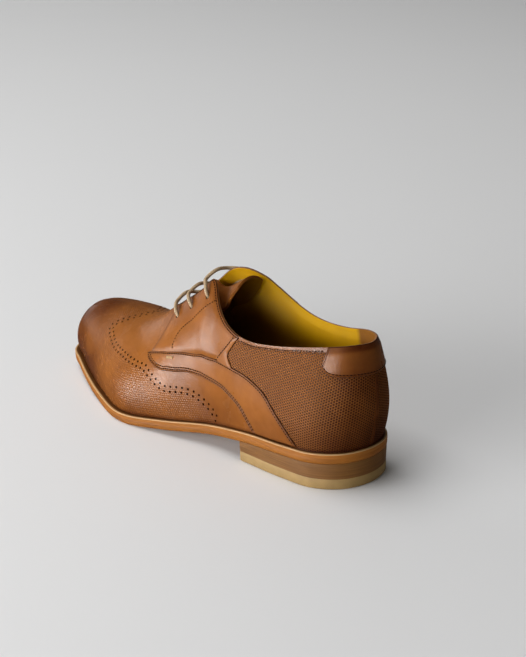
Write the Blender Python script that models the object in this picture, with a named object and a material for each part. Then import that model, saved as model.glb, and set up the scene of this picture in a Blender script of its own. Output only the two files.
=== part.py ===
"""Left derby dress shoe, built up from its last.

The script works in millimetres and places everything in metres. X runs from the outer side (-X) to the
inner side (+X), Y from heel to toe, Z up. The origin is on the floor under the middle of the shoe.
"""
import bmesh
import bpy
import numpy as np

# Driving dimensions, millimetres
SOLE_LENGTH = 305.0
BALL_WIDTH = 103.8
COLLAR_HEIGHT = 94.0
HEEL_LENGTH = 82.5
TOP_LIFT_THICK = 7.0
OUTSOLE_THICK = 4.0
WELT_THICK = 2.6
INSOLE_THICK = 3.4
UPPER_WALL = 2.0
OVERLAY_THICK = 1.2
TONGUE_THICK = 1.6
LACE_DIAMETER = 2.8
EYELET_HOLE = 3.6
CLEARANCE = 0.3
FACET_CLEARANCE = 0.45
LACE_CLEARANCE = 0.9
TONGUE_CLEARANCE = 0.7
BREAST_HOLLOW = 2.0
WELT_INNER_INSET = 7.2
INSOLE_INSET = 7.6
MM = 0.001

# Insets of the sole's layers at their top and bottom edges, millimetres
OUTSOLE_INSETS = (0.2, 0.6)
HEEL_STACK_INSETS = (0.5, 0.8)
TOP_LIFT_INSETS = (0.8, 0.8)

# Facets: columns along each side, rows up the wall
SIDE_COLUMNS = 48
WALL_ROWS = 12
SOLE_COLUMNS = 40
HEEL_COLUMNS = 14
FACING_COLUMNS = 17
FACING_ROWS = 10
BAND_COLUMNS = 24
BAND_ROWS = 7
TAB_COLUMNS = 9
TAB_ROWS = 5
TONGUE_COLUMNS = 9
HOLE_SIDES = 10
LACE_POINTS = 15

# Helpers, millimetres
MERGE = 0.002
SMALL = 0.001
PIN_REACH = 6.0
LACE_RISE = 3.0
INSIDE = np.array((0.0, 0.45 * SOLE_LENGTH, 0.35 * COLLAR_HEIGHT))

# Helpers without unit: steps for slopes, as share or climb (percent) and as way up a rib
SLOPE_STEP = 0.4
ROW_STEP = 1.0
WAY_STEP = 0.01
OUTLINE_SPREAD = 0.75
HEEL_SPREAD = 1.4

SIDES = ("lateral", "medial")
SIGN = {"lateral": -1.0, "medial": 1.0}

# Sole outline: station (percent of length), reach to each side (percent of ball width)
OUTLINE = (
    (0.0, 0.0, 0.0),
    (2.0, 20.2, 18.8),
    (7.2, 32.8, 28.9),
    (14.8, 36.6, 29.9),
    (25.6, 38.1, 26.5),
    (37.7, 38.5, 21.7),
    (49.2, 47.7, 27.0),
    (62.3, 55.6, 39.0),
    (73.8, 46.7, 44.3),
    (83.6, 35.6, 39.0),
    (91.8, 24.7, 27.6),
    (97.4, 16.4, 15.8),
    (100.0, 0.0, 0.0),
)

# Top of the welt: station (percent of length), height (percent of collar height)
WELT_TOP = (
    (0.0, 26.5),
    (13.1, 25.1),
    (25.6, 22.8),
    (34.4, 18.1),
    (42.6, 13.8),
    (52.5, 9.4),
    (59.0, 7.35),
    (69.0, 7.35),
    (78.7, 9.1),
    (90.2, 12.3),
    (100.0, 16.0),
)

# Welt showing outside the upper: share of the way from heel back to toe tip (percent), width (mm)
WELT_MARGIN = (
    (0.0, 3.0),
    (25.0, 3.0),
    (45.0, 3.6),
    (70.0, 3.8),
    (100.0, 4.2),
)

# Crown line over the instep and vamp, shared by both sides: share (percent), across (percent of ball
# width), along (percent of length), up (percent of collar height)
VAMP_CROWN = (
    (48.0, 0.0, 52.1, 101.1),
    (50.5, 0.0, 55.6, 92.3),
    (53.5, 0.0, 59.7, 81.9),
    (57.5, 0.0, 64.9, 70.4),
    (61.0, 1.2, 68.4, 65.5),
    (66.0, 3.1, 72.5, 62.6),
    (74.0, 5.4, 78.4, 60.9),
    (84.0, 6.4, 83.9, 59.6),
    (93.0, 6.0, 87.2, 58.3),
    (100.0, 5.4, 88.2, 57.9),
)

# Crown line of each side from the heel back along the collar to the instep, same columns
CROWN = {
    "lateral": (
        (0.0, 0.0, 1.0, 100.0),
        (5.0, -11.6, 2.6, 99.8),
        (10.0, -19.3, 5.9, 98.3),
        (16.0, -25.0, 11.8, 94.7),
        (23.0, -27.6, 20.3, 89.1),
        (29.0, -27.3, 27.9, 86.2),
        (32.5, -25.6, 32.5, 87.7),
        (35.5, -22.2, 36.7, 92.3),
        (38.0, -17.5, 40.0, 98.9),
        (40.5, -11.0, 43.1, 107.7),
        (43.0, -4.0, 45.9, 112.3),
        (45.5, -0.5, 48.9, 108.7),
    ) + VAMP_CROWN,
    "medial": (
        (0.0, 0.0, 1.0, 100.0),
        (5.0, 11.6, 3.0, 99.6),
        (10.0, 17.8, 7.2, 97.9),
        (16.0, 22.2, 14.4, 92.3),
        (23.0, 25.5, 22.3, 89.6),
        (29.0, 25.8, 28.2, 92.8),
        (32.5, 24.4, 32.0, 98.7),
        (35.5, 20.8, 34.8, 106.2),
        (38.0, 15.8, 37.2, 113.8),
        (40.5, 9.2, 40.5, 117.7),
        (43.0, 3.5, 44.8, 115.3),
        (45.5, 0.5, 48.7, 108.9),
    ) + VAMP_CROWN,
}

# Throat: share (percent), half gap between the facings (percent of ball width), lift of the facing's
# top corner above the crown line (percent of collar height)
VAMP_POINT = 54.8
THROAT = (
    (36.0, 0.0, 0.0),
    (38.5, 0.0, 0.3),
    (41.0, 0.3, 2.0),
    (42.5, 2.6, 3.2),
    (43.5, 4.6, 2.6),
    (45.0, 7.0, 0.8),
    (46.5, 8.1, 0.0),
    (48.0, 8.3, 0.0),
    (50.5, 8.1, 0.0),
    (52.5, 7.1, 0.0),
    (53.8, 5.0, 0.0),
    (54.5, 2.6, 0.0),
    (VAMP_POINT, 0.0, 0.0),
)
# Part of that half gap which each side leaves open
THROAT_SIDE = {"lateral": 1.0, "medial": 0.55}

# Ribs of the last: share (percent), lean of the wall at the welt (degrees outwards), reach of the wall
# (percent of collar height), drop of the crown (degrees), reach of the crown (percent of collar
# height), turn of the crown from sideways (0) to forwards (90) or backwards (-90)
RIBS = (
    (0.0, 15.0, 29.8, 76.0, 27.7, -90.0),
    (5.0, 15.0, 29.8, 76.0, 27.7, -60.0),
    (10.0, 14.0, 28.7, 76.0, 27.7, -32.0),
    (16.0, 11.0, 27.7, 76.0, 26.6, -10.0),
    (23.0, 7.0, 25.5, 78.0, 24.5, 0.0),
    (30.0, 2.0, 25.5, 76.0, 25.5, 0.0),
    (36.0, -2.0, 29.8, 68.0, 27.7, 0.0),
    (42.0, -2.0, 37.2, 44.0, 31.9, 0.0),
    (48.0, 2.0, 35.1, 30.0, 33.0, 0.0),
    (54.0, 6.0, 29.8, 19.0, 33.0, 0.0),
    (57.5, 8.0, 27.7, 12.0, 33.0, 0.0),
    (65.0, 9.0, 25.0, 4.0, 31.9, 0.0),
    (74.0, 11.0, 23.9, 0.0, 27.7, 2.0),
    (84.0, 14.0, 24.5, 0.0, 23.4, 16.0),
    (93.0, 16.0, 25.5, 0.0, 23.4, 48.0),
    (100.0, 16.0, 26.6, 2.0, 26.6, 90.0),
)

# Band from the facing's front tab to the sole: way along it, upper edge and lower edge, each as share
# and climb of the wall (percent)
BAND = (
    (0.0, 54.4, 55.0, 54.7, 49.8),
    (0.04, 53.1, 55.9, 52.4, 43.3),
    (0.15, 49.3, 53.4, 48.4, 37.8),
    (0.26, 45.8, 50.3, 45.0, 35.4),
    (0.36, 42.2, 46.2, 42.0, 32.0),
    (0.42, 40.1, 48.9, 40.1, 32.1),
    (0.52, 35.9, 60.8, 37.0, 34.5),
    (0.60, 32.5, 65.8, 34.8, 34.8),
    (0.68, 28.9, 65.2, 32.8, 31.5),
    (0.76, 25.9, 58.6, 31.2, 27.6),
    (0.84, 23.1, 47.8, 29.7, 21.0),
    (0.92, 20.4, 30.0, 28.3, 11.2),
    (1.0, 15.7, 2.2, 26.8, 1.6),
)
# Way along the band at which the facing's rear edge meets it, and gap in their seam (percent of climb)
BAND_TIP = 0.52
SEAM_GAP = 1.5

# Facing's edge along throat and collar: way from front to rear, share (percent)
FACING_TOP = (
    (0.0, 51.7),
    (0.25, 47.5),
    (0.5, 43.0),
    (0.75, 36.8),
    (1.0, 30.8),
)
# Hollow of the facing's front edge above the tab (percent of share)
FRONT_HOLLOW = 1.4

# Heel tab: share (percent), climb of its lower edge (percent)
HEEL_TAB = (
    (0.0, 73.0),
    (2.5, 73.0),
    (5.7, 73.3),
    (8.3, 74.4),
    (9.9, 76.2),
    (10.9, 79.2),
    (11.6, 84.0),
)
# Backward lean of the heel tab's front edges, from their foot to the collar (percent of share)
TAB_LEAN = 9.0

# Eyelets of each facing: share and climb of the wall (percent)
EYELETS = (
    (49.6, 82.5),
    (46.4, 85.0),
    (41.6, 86.8),
)

# Lace bars run forward on their way to the throat's edge, by this share (percent), and cross it at
# this climb (percent)
LACE_LEAN = 2.0
LACE_CLIMB = 99.0

# Tongue under the throat: share (percent), half width (mm)
TONGUE_UNDER = (
    (54.5, 15.0),
    (53.0, 17.0),
    (51.0, 18.5),
    (49.0, 19.5),
    (47.0, 19.0),
    (45.5, 17.0),
)
# Tongue's free top: along (percent of length), up (percent of collar height), half width, drop of its
# sides and shift to the inner side (mm)
TONGUE_FREE = (
    (45.2, 103.8, 11.0, 16.0, 1.0),
    (42.3, 107.8, 11.0, 15.0, 3.5),
    (39.3, 113.5, 13.2, 10.0, 2.2),
    (37.4, 117.2, 11.5, 5.0, 2.4),
)


def smooth(table, at):
    """Smooth curve through the rows of a table, read at the values in its first column."""
    rows = np.asarray(table, float)
    keys, values = rows[:, 0], rows[:, 1:]
    steps = np.diff(keys)[:, None]
    grades = np.diff(values, axis=0) / steps
    slopes = np.empty_like(values)
    slopes[1:-1] = (grades[:-1] * steps[1:] + grades[1:] * steps[:-1]) / (steps[:-1] + steps[1:])
    slopes[0] = 1.5 * grades[0] - 0.5 * slopes[1]
    slopes[-1] = 1.5 * grades[-1] - 0.5 * slopes[-2]
    at = np.clip(np.atleast_1d(np.asarray(at, float)), keys[0], keys[-1])
    row = np.clip(np.searchsorted(keys, at, side="right") - 1, 0, len(keys) - 2)
    step = (keys[row + 1] - keys[row])[:, None]
    way = (at - keys[row])[:, None] / step
    start = (2 * way**3 - 3 * way**2 + 1) * values[row] + (way**3 - 2 * way**2 + way) * step * slopes[row]
    end = (3 * way**2 - 2 * way**3) * values[row + 1] + (way**3 - way**2) * step * slopes[row + 1]
    return start + end


def half_outlines(samples=600, overlap=3):
    """Dense plan outline of each side, from heel back to toe tip."""
    rows = np.array(OUTLINE) / 100
    lateral = np.column_stack((-rows[:, 1] * BALL_WIDTH, rows[:, 0] * SOLE_LENGTH))
    medial = np.column_stack((rows[:, 2] * BALL_WIDTH, rows[:, 0] * SOLE_LENGTH))
    ring = np.vstack((lateral, medial[::-1][1:-1]))
    closed = np.vstack((ring[-overlap:], ring, ring[:overlap + 1]))
    chords = np.hypot(*np.diff(closed, axis=0).T)
    keys = np.concatenate(([0.0], np.cumsum(chords**OUTLINE_SPREAD)))
    table = np.column_stack((keys, closed))
    heel, toe, heel_again = keys[overlap], keys[overlap + len(lateral) - 1], keys[overlap + len(ring)]
    return {
        "lateral": smooth(table, np.linspace(heel, toe, samples)),
        "medial": smooth(table, np.linspace(heel_again, toe, samples)),
    }


HALF_OUTLINES = half_outlines()


def outline_at(side, share, inset):
    """Plan points and outward directions at shares (percent) of one side, moved in by an inset."""
    line = HALF_OUTLINES[side]
    lengths = np.concatenate(([0.0], np.cumsum(np.hypot(*np.diff(line, axis=0).T))))
    shares = 100 * lengths / lengths[-1]
    along = np.gradient(line, axis=0)
    outward = np.column_stack((along[:, 1], -along[:, 0])) * SIGN[side]
    outward[0] = (0.0, -1.0)
    outward[-1] = (0.0, 1.0)
    outward /= np.hypot(*outward.T)[:, None]
    share = np.atleast_1d(np.asarray(share, float))
    point = np.column_stack([np.interp(share, shares, line[:, axis]) for axis in (0, 1)])
    away = np.column_stack([np.interp(share, shares, outward[:, axis]) for axis in (0, 1)])
    away /= np.hypot(*away.T)[:, None]
    return point - away * np.reshape(inset, (-1, 1)), away


def welt_top(along):
    """Height of the welt's top at places along the shoe."""
    return smooth(WELT_TOP, 100 * np.asarray(along) / SOLE_LENGTH)[:, 0] * COLLAR_HEIGHT / 100


def crown_line(side, share):
    """Points of the crown line, in millimetres; it runs round the heel's back without a corner."""
    scale = np.array((BALL_WIDTH, SOLE_LENGTH, COLLAR_HEIGHT)) / 100
    next_share, across, along, up = CROWN[side][1]
    past_the_back = ((-next_share, -across, along, up),)
    return smooth(past_the_back + CROWN[side], share) * scale


def rib(side, share):
    """Four control points of each rib: foot, wall handle, crown handle and crown."""
    share = np.atleast_1d(np.asarray(share, float))
    foot_plan, outward = outline_at(side, share, smooth(WELT_MARGIN, share)[:, 0])
    foot = np.column_stack((foot_plan, welt_top(foot_plan[:, 1]) + CLEARANCE))
    lean, reach, drop, crown_reach, turn = smooth(RIBS, share).T
    lean, drop, turn = np.radians(lean), np.radians(drop), np.radians(turn)
    wall_way = np.column_stack((outward * np.sin(lean)[:, None], np.cos(lean)))
    crown_way = np.column_stack((
        SIGN[side] * np.cos(turn) * np.cos(drop),
        np.sin(turn) * np.cos(drop),
        -np.sin(drop),
    ))
    crown = crown_line(side, share)
    lift = np.where((share > THROAT[0][0]) & (share < VAMP_POINT), smooth(THROAT, share)[:, 1], 0.0)
    wall_handle = foot + wall_way * (reach * COLLAR_HEIGHT / 100)[:, None]
    crown_handle = crown + crown_way * (crown_reach * COLLAR_HEIGHT / 100)[:, None]
    crown[:, 2] += np.clip(lift, 0.0, None) * COLLAR_HEIGHT / 100
    return foot, wall_handle, crown_handle, crown


def bezier(points, way):
    """Point on each cubic curve at its own way."""
    foot, wall_handle, crown_handle, crown = points
    way = np.reshape(way, (-1, 1))
    back = 1 - way
    return (back**3 * foot + 3 * back**2 * way * wall_handle
            + 3 * back * way**2 * crown_handle + way**3 * crown)


def edge_way(side, share, gap):
    """Way up each rib at which it stops short of the crown by a sideways gap."""
    share = np.atleast_1d(np.asarray(share, float))
    ways = np.linspace(0.5, 1.0, 41)
    stops = np.ones(len(share))
    for index, (one_share, one_gap) in enumerate(zip(share, np.broadcast_to(gap, share.shape))):
        if one_gap > 0:
            curve = bezier([np.repeat(p, len(ways), axis=0) for p in rib(side, one_share)], ways)
            apart = np.abs(curve[:, 0] - curve[-1, 0])
            stops[index] = np.interp(one_gap, apart[::-1], ways[::-1])
    return stops


def throat_gap(side, share):
    """Half gap of the throat at shares of the way."""
    share = np.atleast_1d(np.asarray(share, float))
    open_here = (share > THROAT[0][0]) & (share < VAMP_POINT)
    gap = np.where(open_here, np.clip(smooth(THROAT, share)[:, 0], 0.0, None), 0.0)
    return gap * THROAT_SIDE[side] * BALL_WIDTH / 100


def wall(side, share, climb):
    """Points on the outer face of the upper; climb 0 is the welt and 100 the edge."""
    share, climb = np.broadcast_arrays(np.asarray(share, float), np.asarray(climb, float))
    flat = share.ravel()
    ways = edge_way(side, flat, throat_gap(side, flat)) * climb.ravel() / 100
    return bezier(rib(side, flat), ways).reshape(share.shape + (3,))


def wall_normal(side, share, climb):
    """Outward directions of the upper's outer face."""
    shares = [np.clip(share + step, 0, 100) for step in (SLOPE_STEP, -SLOPE_STEP)]
    climbs = [np.clip(climb + step, 0, 100) for step in (SLOPE_STEP, -SLOPE_STEP)]
    ahead = wall(side, shares[0], climb) - wall(side, shares[1], climb)
    up = wall(side, share, climbs[0]) - wall(side, share, climbs[1])
    normal = np.cross(ahead, up) * SIGN[side]
    normal[np.asarray(share) <= 0, 0] = 0.0
    return normal / np.linalg.norm(normal, axis=-1, keepdims=True)


def raised(side, share, climb, height):
    """Points a height above the upper's outer face."""
    share, climb = np.broadcast_arrays(np.asarray(share, float), np.asarray(climb, float))
    return wall(side, share, climb) + wall_normal(side, share, climb) * height


def ring_shares(columns, stops=()):
    """Shares along one side, closer together at heel and toe, passing through the stops."""
    even = np.linspace(0, 1, columns + 1)
    shares = 100 * (0.5 * even + 0.25 * (1 - np.cos(np.pi * even)))
    for stop in stops:
        shares[np.argmin(np.abs(shares - stop))] = stop
    return shares


def plan_origin():
    """Place on the floor under the middle of the shoe."""
    edges = np.vstack(list(HALF_OUTLINES.values()))
    back = wall("lateral", np.zeros(WALL_ROWS + 1), np.linspace(0, 100, WALL_ROWS + 1))
    low = np.array((edges[:, 0].min(), min(0.0, back[:, 1].min())))
    high = edges.max(axis=0)
    return np.append((low + high) / 2, 0.0)


ORIGIN = plan_origin()


def material(name, colour, roughness):
    """Plain finish of one sub-part."""
    finish = bpy.data.materials.new(name)
    finish.use_nodes = True
    shader = finish.node_tree.nodes["Principled BSDF"]
    shader.inputs["Base Color"].default_value = (*colour, 1.0)
    shader.inputs["Roughness"].default_value = roughness
    shader.inputs["Metallic"].default_value = 0.0
    return finish


def add_object(name, points, faces, finish, closed=True):
    """Mesh object from millimetre points, doubles merged; a closed body has its faces turned out."""
    mesh = bpy.data.meshes.new(name)
    mesh.from_pydata([tuple((np.asarray(point) - ORIGIN) * MM) for point in points], [], faces)
    shape = bmesh.new()
    shape.from_mesh(mesh)
    bmesh.ops.remove_doubles(shape, verts=shape.verts, dist=MERGE * MM)
    bmesh.ops.dissolve_degenerate(shape, edges=shape.edges, dist=MERGE * MM)
    if closed:
        bmesh.ops.recalc_face_normals(shape, faces=shape.faces)
    shape.to_mesh(mesh)
    shape.free()
    mesh.shade_smooth()
    mesh.materials.append(finish)
    thing = bpy.data.objects.new(name, mesh)
    bpy.context.scene.collection.objects.link(thing)
    return thing


def grid_faces(rows, columns):
    """Quads of a grid whose points run row by row."""
    faces = []
    for row in range(rows - 1):
        for column in range(columns - 1):
            corner = row * columns + column
            faces.append((corner, corner + 1, corner + columns + 1, corner + columns))
    return faces


def sheet(name, grid, thickness, outwards, finish):
    """Thin solid that grows outwards or inwards from a grid of points on the shoe."""
    rows, columns = grid.shape[:2]
    row, column = rows // 2, columns // 4
    corner = grid[row, column]
    looks = np.cross(grid[row, column + 1] - corner, grid[row + 1, column] - corner)
    if np.dot(looks, corner - INSIDE) < 0:
        grid = grid[:, ::-1]
    thing = add_object(name, grid.reshape(-1, 3), grid_faces(rows, columns), finish, closed=False)
    solid = thing.modifiers.new("thickness", "SOLIDIFY")
    solid.thickness = thickness * MM
    solid.offset = 1.0 if outwards else -1.0
    solid.use_even_offset = True
    return thing


def cut_holes(thing, cutter):
    """Take the cutter's shape out of an object."""
    hole = thing.modifiers.new("eyelet holes", "BOOLEAN")
    hole.operation = "DIFFERENCE"
    hole.solver = "EXACT"
    hole.object = cutter


def make_upper(finish):
    """Vamp and quarters: one wall round the last, open at the collar, the throat and underneath."""
    shares = ring_shares(SIDE_COLUMNS, stops=(VAMP_POINT,))
    climbs = np.linspace(0, 100, WALL_ROWS + 1)
    lateral = wall("lateral", shares[::-1, None], climbs[None, :])
    medial = wall("medial", shares[1:, None], climbs[None, :])
    return sheet("upper", np.concatenate((lateral, medial)), UPPER_WALL, False, finish)


def band_edges(way):
    """Upper and lower edge of the band, each as share and climb."""
    upper_share, upper_climb, lower_share, lower_climb = smooth(BAND, way).T
    return upper_share, upper_climb, lower_share, lower_climb


def ruled(low, high, rows):
    """Grid of values between two edges."""
    blend = np.linspace(0, 1, rows)[None, :]
    return low[:, None] * (1 - blend) + high[:, None] * blend


def make_facing(side, finish):
    """Lace panel: from the band's upper edge to the edges of throat and collar."""
    way = np.linspace(0, 1, FACING_COLUMNS)
    low_share, low_climb, _, _ = band_edges(way * BAND_TIP)
    top_share = smooth(FACING_TOP, way)[:, 0]
    up = np.linspace(0, 1, FACING_ROWS)
    shares = ruled(low_share, top_share, FACING_ROWS)
    shares -= FRONT_HOLLOW * np.outer((1 - way)**3, 4 * up * (1 - up))
    climbs = ruled(low_climb + SEAM_GAP, np.full(len(way), 100.0), FACING_ROWS)
    grid = raised(side, shares, climbs, FACET_CLEARANCE)
    return sheet("facing_" + side, grid, OVERLAY_THICK, True, finish)


def make_band(side, finish):
    """Curved strip from the front tab back and down to the sole."""
    upper_share, upper_climb, lower_share, lower_climb = band_edges(np.linspace(0, 1, BAND_COLUMNS))
    shares = ruled(lower_share, upper_share, BAND_ROWS)
    climbs = ruled(lower_climb, upper_climb, BAND_ROWS)
    grid = raised(side, shares, climbs, FACET_CLEARANCE)
    return sheet("band_" + side, grid, OVERLAY_THICK, True, finish)


def make_heel_tab(finish):
    """Counter piece across the back of the collar."""
    shares = np.linspace(0, HEEL_TAB[-1][0], TAB_COLUMNS)
    lows = smooth(HEEL_TAB, shares)[:, 0]
    climbs = ruled(lows, np.full(len(lows), 100.0), TAB_ROWS)
    leaning = np.outer(shares, 1 - TAB_LEAN / 100 * np.linspace(0, 1, TAB_ROWS))
    halves = {side: raised(side, leaning, climbs, FACET_CLEARANCE) for side in SIDES}
    grid = np.concatenate((halves["lateral"][::-1], halves["medial"][1:]))
    return sheet("heel_tab", grid, OVERLAY_THICK, True, finish)


def tongue_row_under(share, half_width):
    """Row of tongue points across the shoe, under the wall at one share of the way."""
    depth = UPPER_WALL + TONGUE_CLEARANCE
    row = []
    for place in np.linspace(-1, 1, TONGUE_COLUMNS):
        side = "lateral" if place < 0 else "medial"
        way = edge_way(side, share, max(abs(place) * half_width, SMALL))
        ahead = bezier(rib(side, share + ROW_STEP), way) - bezier(rib(side, share - ROW_STEP), way)
        up = bezier(rib(side, share), way) - bezier(rib(side, share), way - WAY_STEP)
        normal = np.cross(ahead, up)[0] * SIGN[side]
        if place == 0:
            normal[0] = 0.0
        row.append(bezier(rib(side, share), way)[0] - normal / np.linalg.norm(normal) * depth)
    return row


def tongue_row_free(along, up, half_width, drop, shift):
    """Row of tongue points across its free top."""
    places = np.linspace(-1, 1, TONGUE_COLUMNS)
    heights = up * COLLAR_HEIGHT / 100 - drop * places**2
    across = shift + places * half_width
    return np.column_stack((across, np.full(len(places), along * SOLE_LENGTH / 100), heights))


def make_tongue(finish):
    """Tongue: under the throat it follows the wall, above it leans back over the opening."""
    rows = [tongue_row_under(*row) for row in TONGUE_UNDER]
    rows += [tongue_row_free(*row) for row in TONGUE_FREE]
    return sheet("tongue", np.array(rows), TONGUE_THICK, False, finish)


def sole_layer(name, shares, insets, top, bottom, finish, hollow=0.0):
    """Solid between two heights over the outline: insets at its top and bottom, front end hollowed."""
    rings = []
    for inset, height in zip(insets, (top, bottom)):
        left, right = (outline_at(side, shares, inset)[0] for side in SIDES)
        middle = (left + right) / 2
        middle[-1, 1] -= hollow
        rings.append([np.column_stack((line, height(line[:, 1]))) for line in (left, middle, right)])
    (top_left, top_middle, top_right), (low_left, low_middle, low_right) = rings
    loops = np.stack((top_left, top_middle, top_right, low_right, low_middle, low_left, top_left), axis=1)
    stations, columns = loops.shape[:2]
    faces = grid_faces(stations, columns)
    last = (stations - 1) * columns
    faces += [(last, last + 1, last + 4, last + 5), (last + 1, last + 2, last + 3, last + 4)]
    return add_object(name, loops.reshape(-1, 3), faces, finish)


def make_welt(finish):
    """Strip round the sole's edge that carries the upper."""
    shares = ring_shares(SOLE_COLUMNS)
    ring = []
    corners = ((0.0, 0.0), (0.0, WELT_THICK), (WELT_INNER_INSET, WELT_THICK), (WELT_INNER_INSET, 0.0))
    for inset, drop in corners:
        halves = [outline_at(side, shares, inset)[0] for side in SIDES]
        loop = np.vstack((halves[0], halves[1][::-1][1:]))
        ring.append(np.column_stack((loop, welt_top(loop[:, 1]) - drop)))
    ring.append(ring[0])
    grid = np.stack(ring, axis=1)
    return add_object("welt", grid.reshape(-1, 3), grid_faces(*grid.shape[:2]), finish)


def outsole_top(along):
    """Height of the outsole's top face."""
    return welt_top(along) - WELT_THICK - CLEARANCE


def outsole_bottom(along):
    """Height of the outsole's tread, flat on the floor under the ball."""
    return np.clip(outsole_top(along) - OUTSOLE_THICK, 0.0, None)


def breast_share():
    """Share of the way at which the heel's front face stands."""
    shares = np.linspace(0, 50, 501)
    along = outline_at("lateral", shares, 0.0)[0][:, 1]
    return np.interp(HEEL_LENGTH, along, shares)


def make_sole(finishes):
    """Insole, outsole, heel stack and top lift."""
    all_round = ring_shares(SOLE_COLUMNS)
    heel = np.linspace(0, 1, HEEL_COLUMNS)**HEEL_SPREAD * breast_share()
    sole_layer("insole", all_round, (INSOLE_INSET, INSOLE_INSET),
               lambda along: outsole_top(along) + CLEARANCE + INSOLE_THICK,
               lambda along: outsole_top(along) + CLEARANCE, finishes["insole"])
    sole_layer("outsole", all_round, OUTSOLE_INSETS, outsole_top, outsole_bottom, finishes["outsole"])
    sole_layer("heel_stack", heel, HEEL_STACK_INSETS,
               lambda along: outsole_bottom(along) - CLEARANCE,
               lambda along: np.full(len(along), TOP_LIFT_THICK + CLEARANCE),
               finishes["heel_stack"], BREAST_HOLLOW)
    sole_layer("top_lift", heel, TOP_LIFT_INSETS,
               lambda along: np.full(len(along), TOP_LIFT_THICK),
               lambda along: np.zeros(len(along)), finishes["top_lift"], BREAST_HOLLOW)


def make_eyelet_cutter():
    """Pins through the facings and the wall, where the eyelet holes go."""
    points, faces = [], []
    turns = np.linspace(0, 2 * np.pi, HOLE_SIDES, endpoint=False)
    for side in SIDES:
        for share, climb in EYELETS:
            centre = wall(side, share, climb)
            axis = wall_normal(side, np.array([share]), np.array([climb]))[0]
            across = np.cross(axis, (0.0, 0.0, 1.0))
            across /= np.linalg.norm(across)
            up = np.cross(across, axis)
            circle = np.cos(turns)[:, None] * across + np.sin(turns)[:, None] * up
            start = len(points)
            for reach in (-PIN_REACH, PIN_REACH):
                points += list(centre + axis * reach + circle * EYELET_HOLE / 2)
            ring = range(HOLE_SIDES)
            faces += [(start + i, start + (i + 1) % HOLE_SIDES,
                       start + HOLE_SIDES + (i + 1) % HOLE_SIDES, start + HOLE_SIDES + i) for i in ring]
            faces.append(tuple(start + i for i in reversed(ring)))
            faces.append(tuple(start + HOLE_SIDES + i for i in ring))
    cutter = add_object("eyelet_cutter", points, faces, material("cutter", (0.5, 0.5, 0.5), 0.5))
    cutter.hide_render = True
    cutter.display_type = "WIRE"
    return cutter


def lace_route(share, climb):
    """Route of one lace bar from eyelet to eyelet over the throat."""
    height = FACET_CLEARANCE + OVERLAY_THICK + LACE_CLEARANCE + LACE_DIAMETER / 2
    climbs = np.array((climb, (climb + 100) / 2, LACE_CLIMB))
    shares = share + np.array((0.0, LACE_LEAN / 2, LACE_LEAN))
    halves = [raised(side, shares, climbs, height) for side in SIDES]
    top = (halves[0][-1] + halves[1][-1]) / 2 + (0.0, 0.0, LACE_RISE)
    knots = np.vstack((halves[0], top, halves[1][::-1]))
    keys = np.arange(len(knots))
    return smooth(np.column_stack((keys, knots)), np.linspace(0, keys[-1], LACE_POINTS))


def make_lace_bars(finish):
    """Round lace: one straight bar for each pair of eyelets."""
    for number, (share, climb) in enumerate(EYELETS, start=1):
        route = lace_route(share, climb)
        name = "lace_bar_" + str(number)
        curve = bpy.data.curves.new(name, "CURVE")
        curve.dimensions = "3D"
        curve.bevel_depth = LACE_DIAMETER / 2 * MM
        curve.bevel_resolution = 2
        curve.use_fill_caps = True
        spline = curve.splines.new("POLY")
        spline.points.add(len(route) - 1)
        for knot, point in zip(spline.points, route):
            knot.co = (*((point - ORIGIN) * MM), 1.0)
        curve.materials.append(finish)
        bpy.context.scene.collection.objects.link(bpy.data.objects.new(name, curve))


def build_shoe():
    """All sub-parts of the shoe."""
    for thing in list(bpy.data.objects):
        bpy.data.objects.remove(thing)
    leather = material("tan leather", (0.32, 0.12, 0.04), 0.4)
    smooth_leather = material("smooth tan leather", (0.34, 0.13, 0.05), 0.35)
    finishes = {
        "insole": material("yellow lining", (0.55, 0.33, 0.03), 0.6),
        "outsole": material("sole leather", (0.45, 0.2, 0.06), 0.5),
        "heel_stack": material("stacked heel", (0.14, 0.07, 0.03), 0.5),
        "top_lift": material("beige rubber", (0.42, 0.33, 0.19), 0.6),
    }
    cutter = make_eyelet_cutter()
    cut_holes(make_upper(leather), cutter)
    for side in SIDES:
        cut_holes(make_facing(side, smooth_leather), cutter)
        make_band(side, smooth_leather)
    make_heel_tab(smooth_leather)
    make_tongue(leather)
    make_welt(material("welt leather", (0.5, 0.26, 0.09), 0.5))
    make_sole(finishes)
    make_lace_bars(material("waxed lace", (0.4, 0.27, 0.16), 0.6))


build_shoe()
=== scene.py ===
"""Looks of a left derby dress shoe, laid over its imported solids.

Everything is in metres, in the frame of the solids: X runs from the outer side (-X) to the inner side (+X),
Y from heel to toe, Z up. The form of the last is worked out here from the same tables as the solids, so that
each layer of leather, seam and stitch follows it.
"""

import bmesh
import bpy
import numpy as np
from bpy.props import FloatProperty, FloatVectorProperty, PointerProperty
from mathutils import Matrix


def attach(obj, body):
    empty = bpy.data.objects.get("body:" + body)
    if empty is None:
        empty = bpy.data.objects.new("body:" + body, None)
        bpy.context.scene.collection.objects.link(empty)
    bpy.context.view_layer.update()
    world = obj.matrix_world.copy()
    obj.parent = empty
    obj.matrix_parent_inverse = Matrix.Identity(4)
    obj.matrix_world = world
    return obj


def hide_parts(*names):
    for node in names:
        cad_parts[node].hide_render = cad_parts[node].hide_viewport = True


bl_info = {
    "name": "Derby dress shoe",
    "version": (1, 0, 0),
    "blender": (4, 5, 0),
    "location": "View3D > Sidebar > Shoe",
    "description": "Dresses the solids of a left derby shoe in leather, stitching, laces and a welted sole",
    "category": "Object",
}

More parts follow.
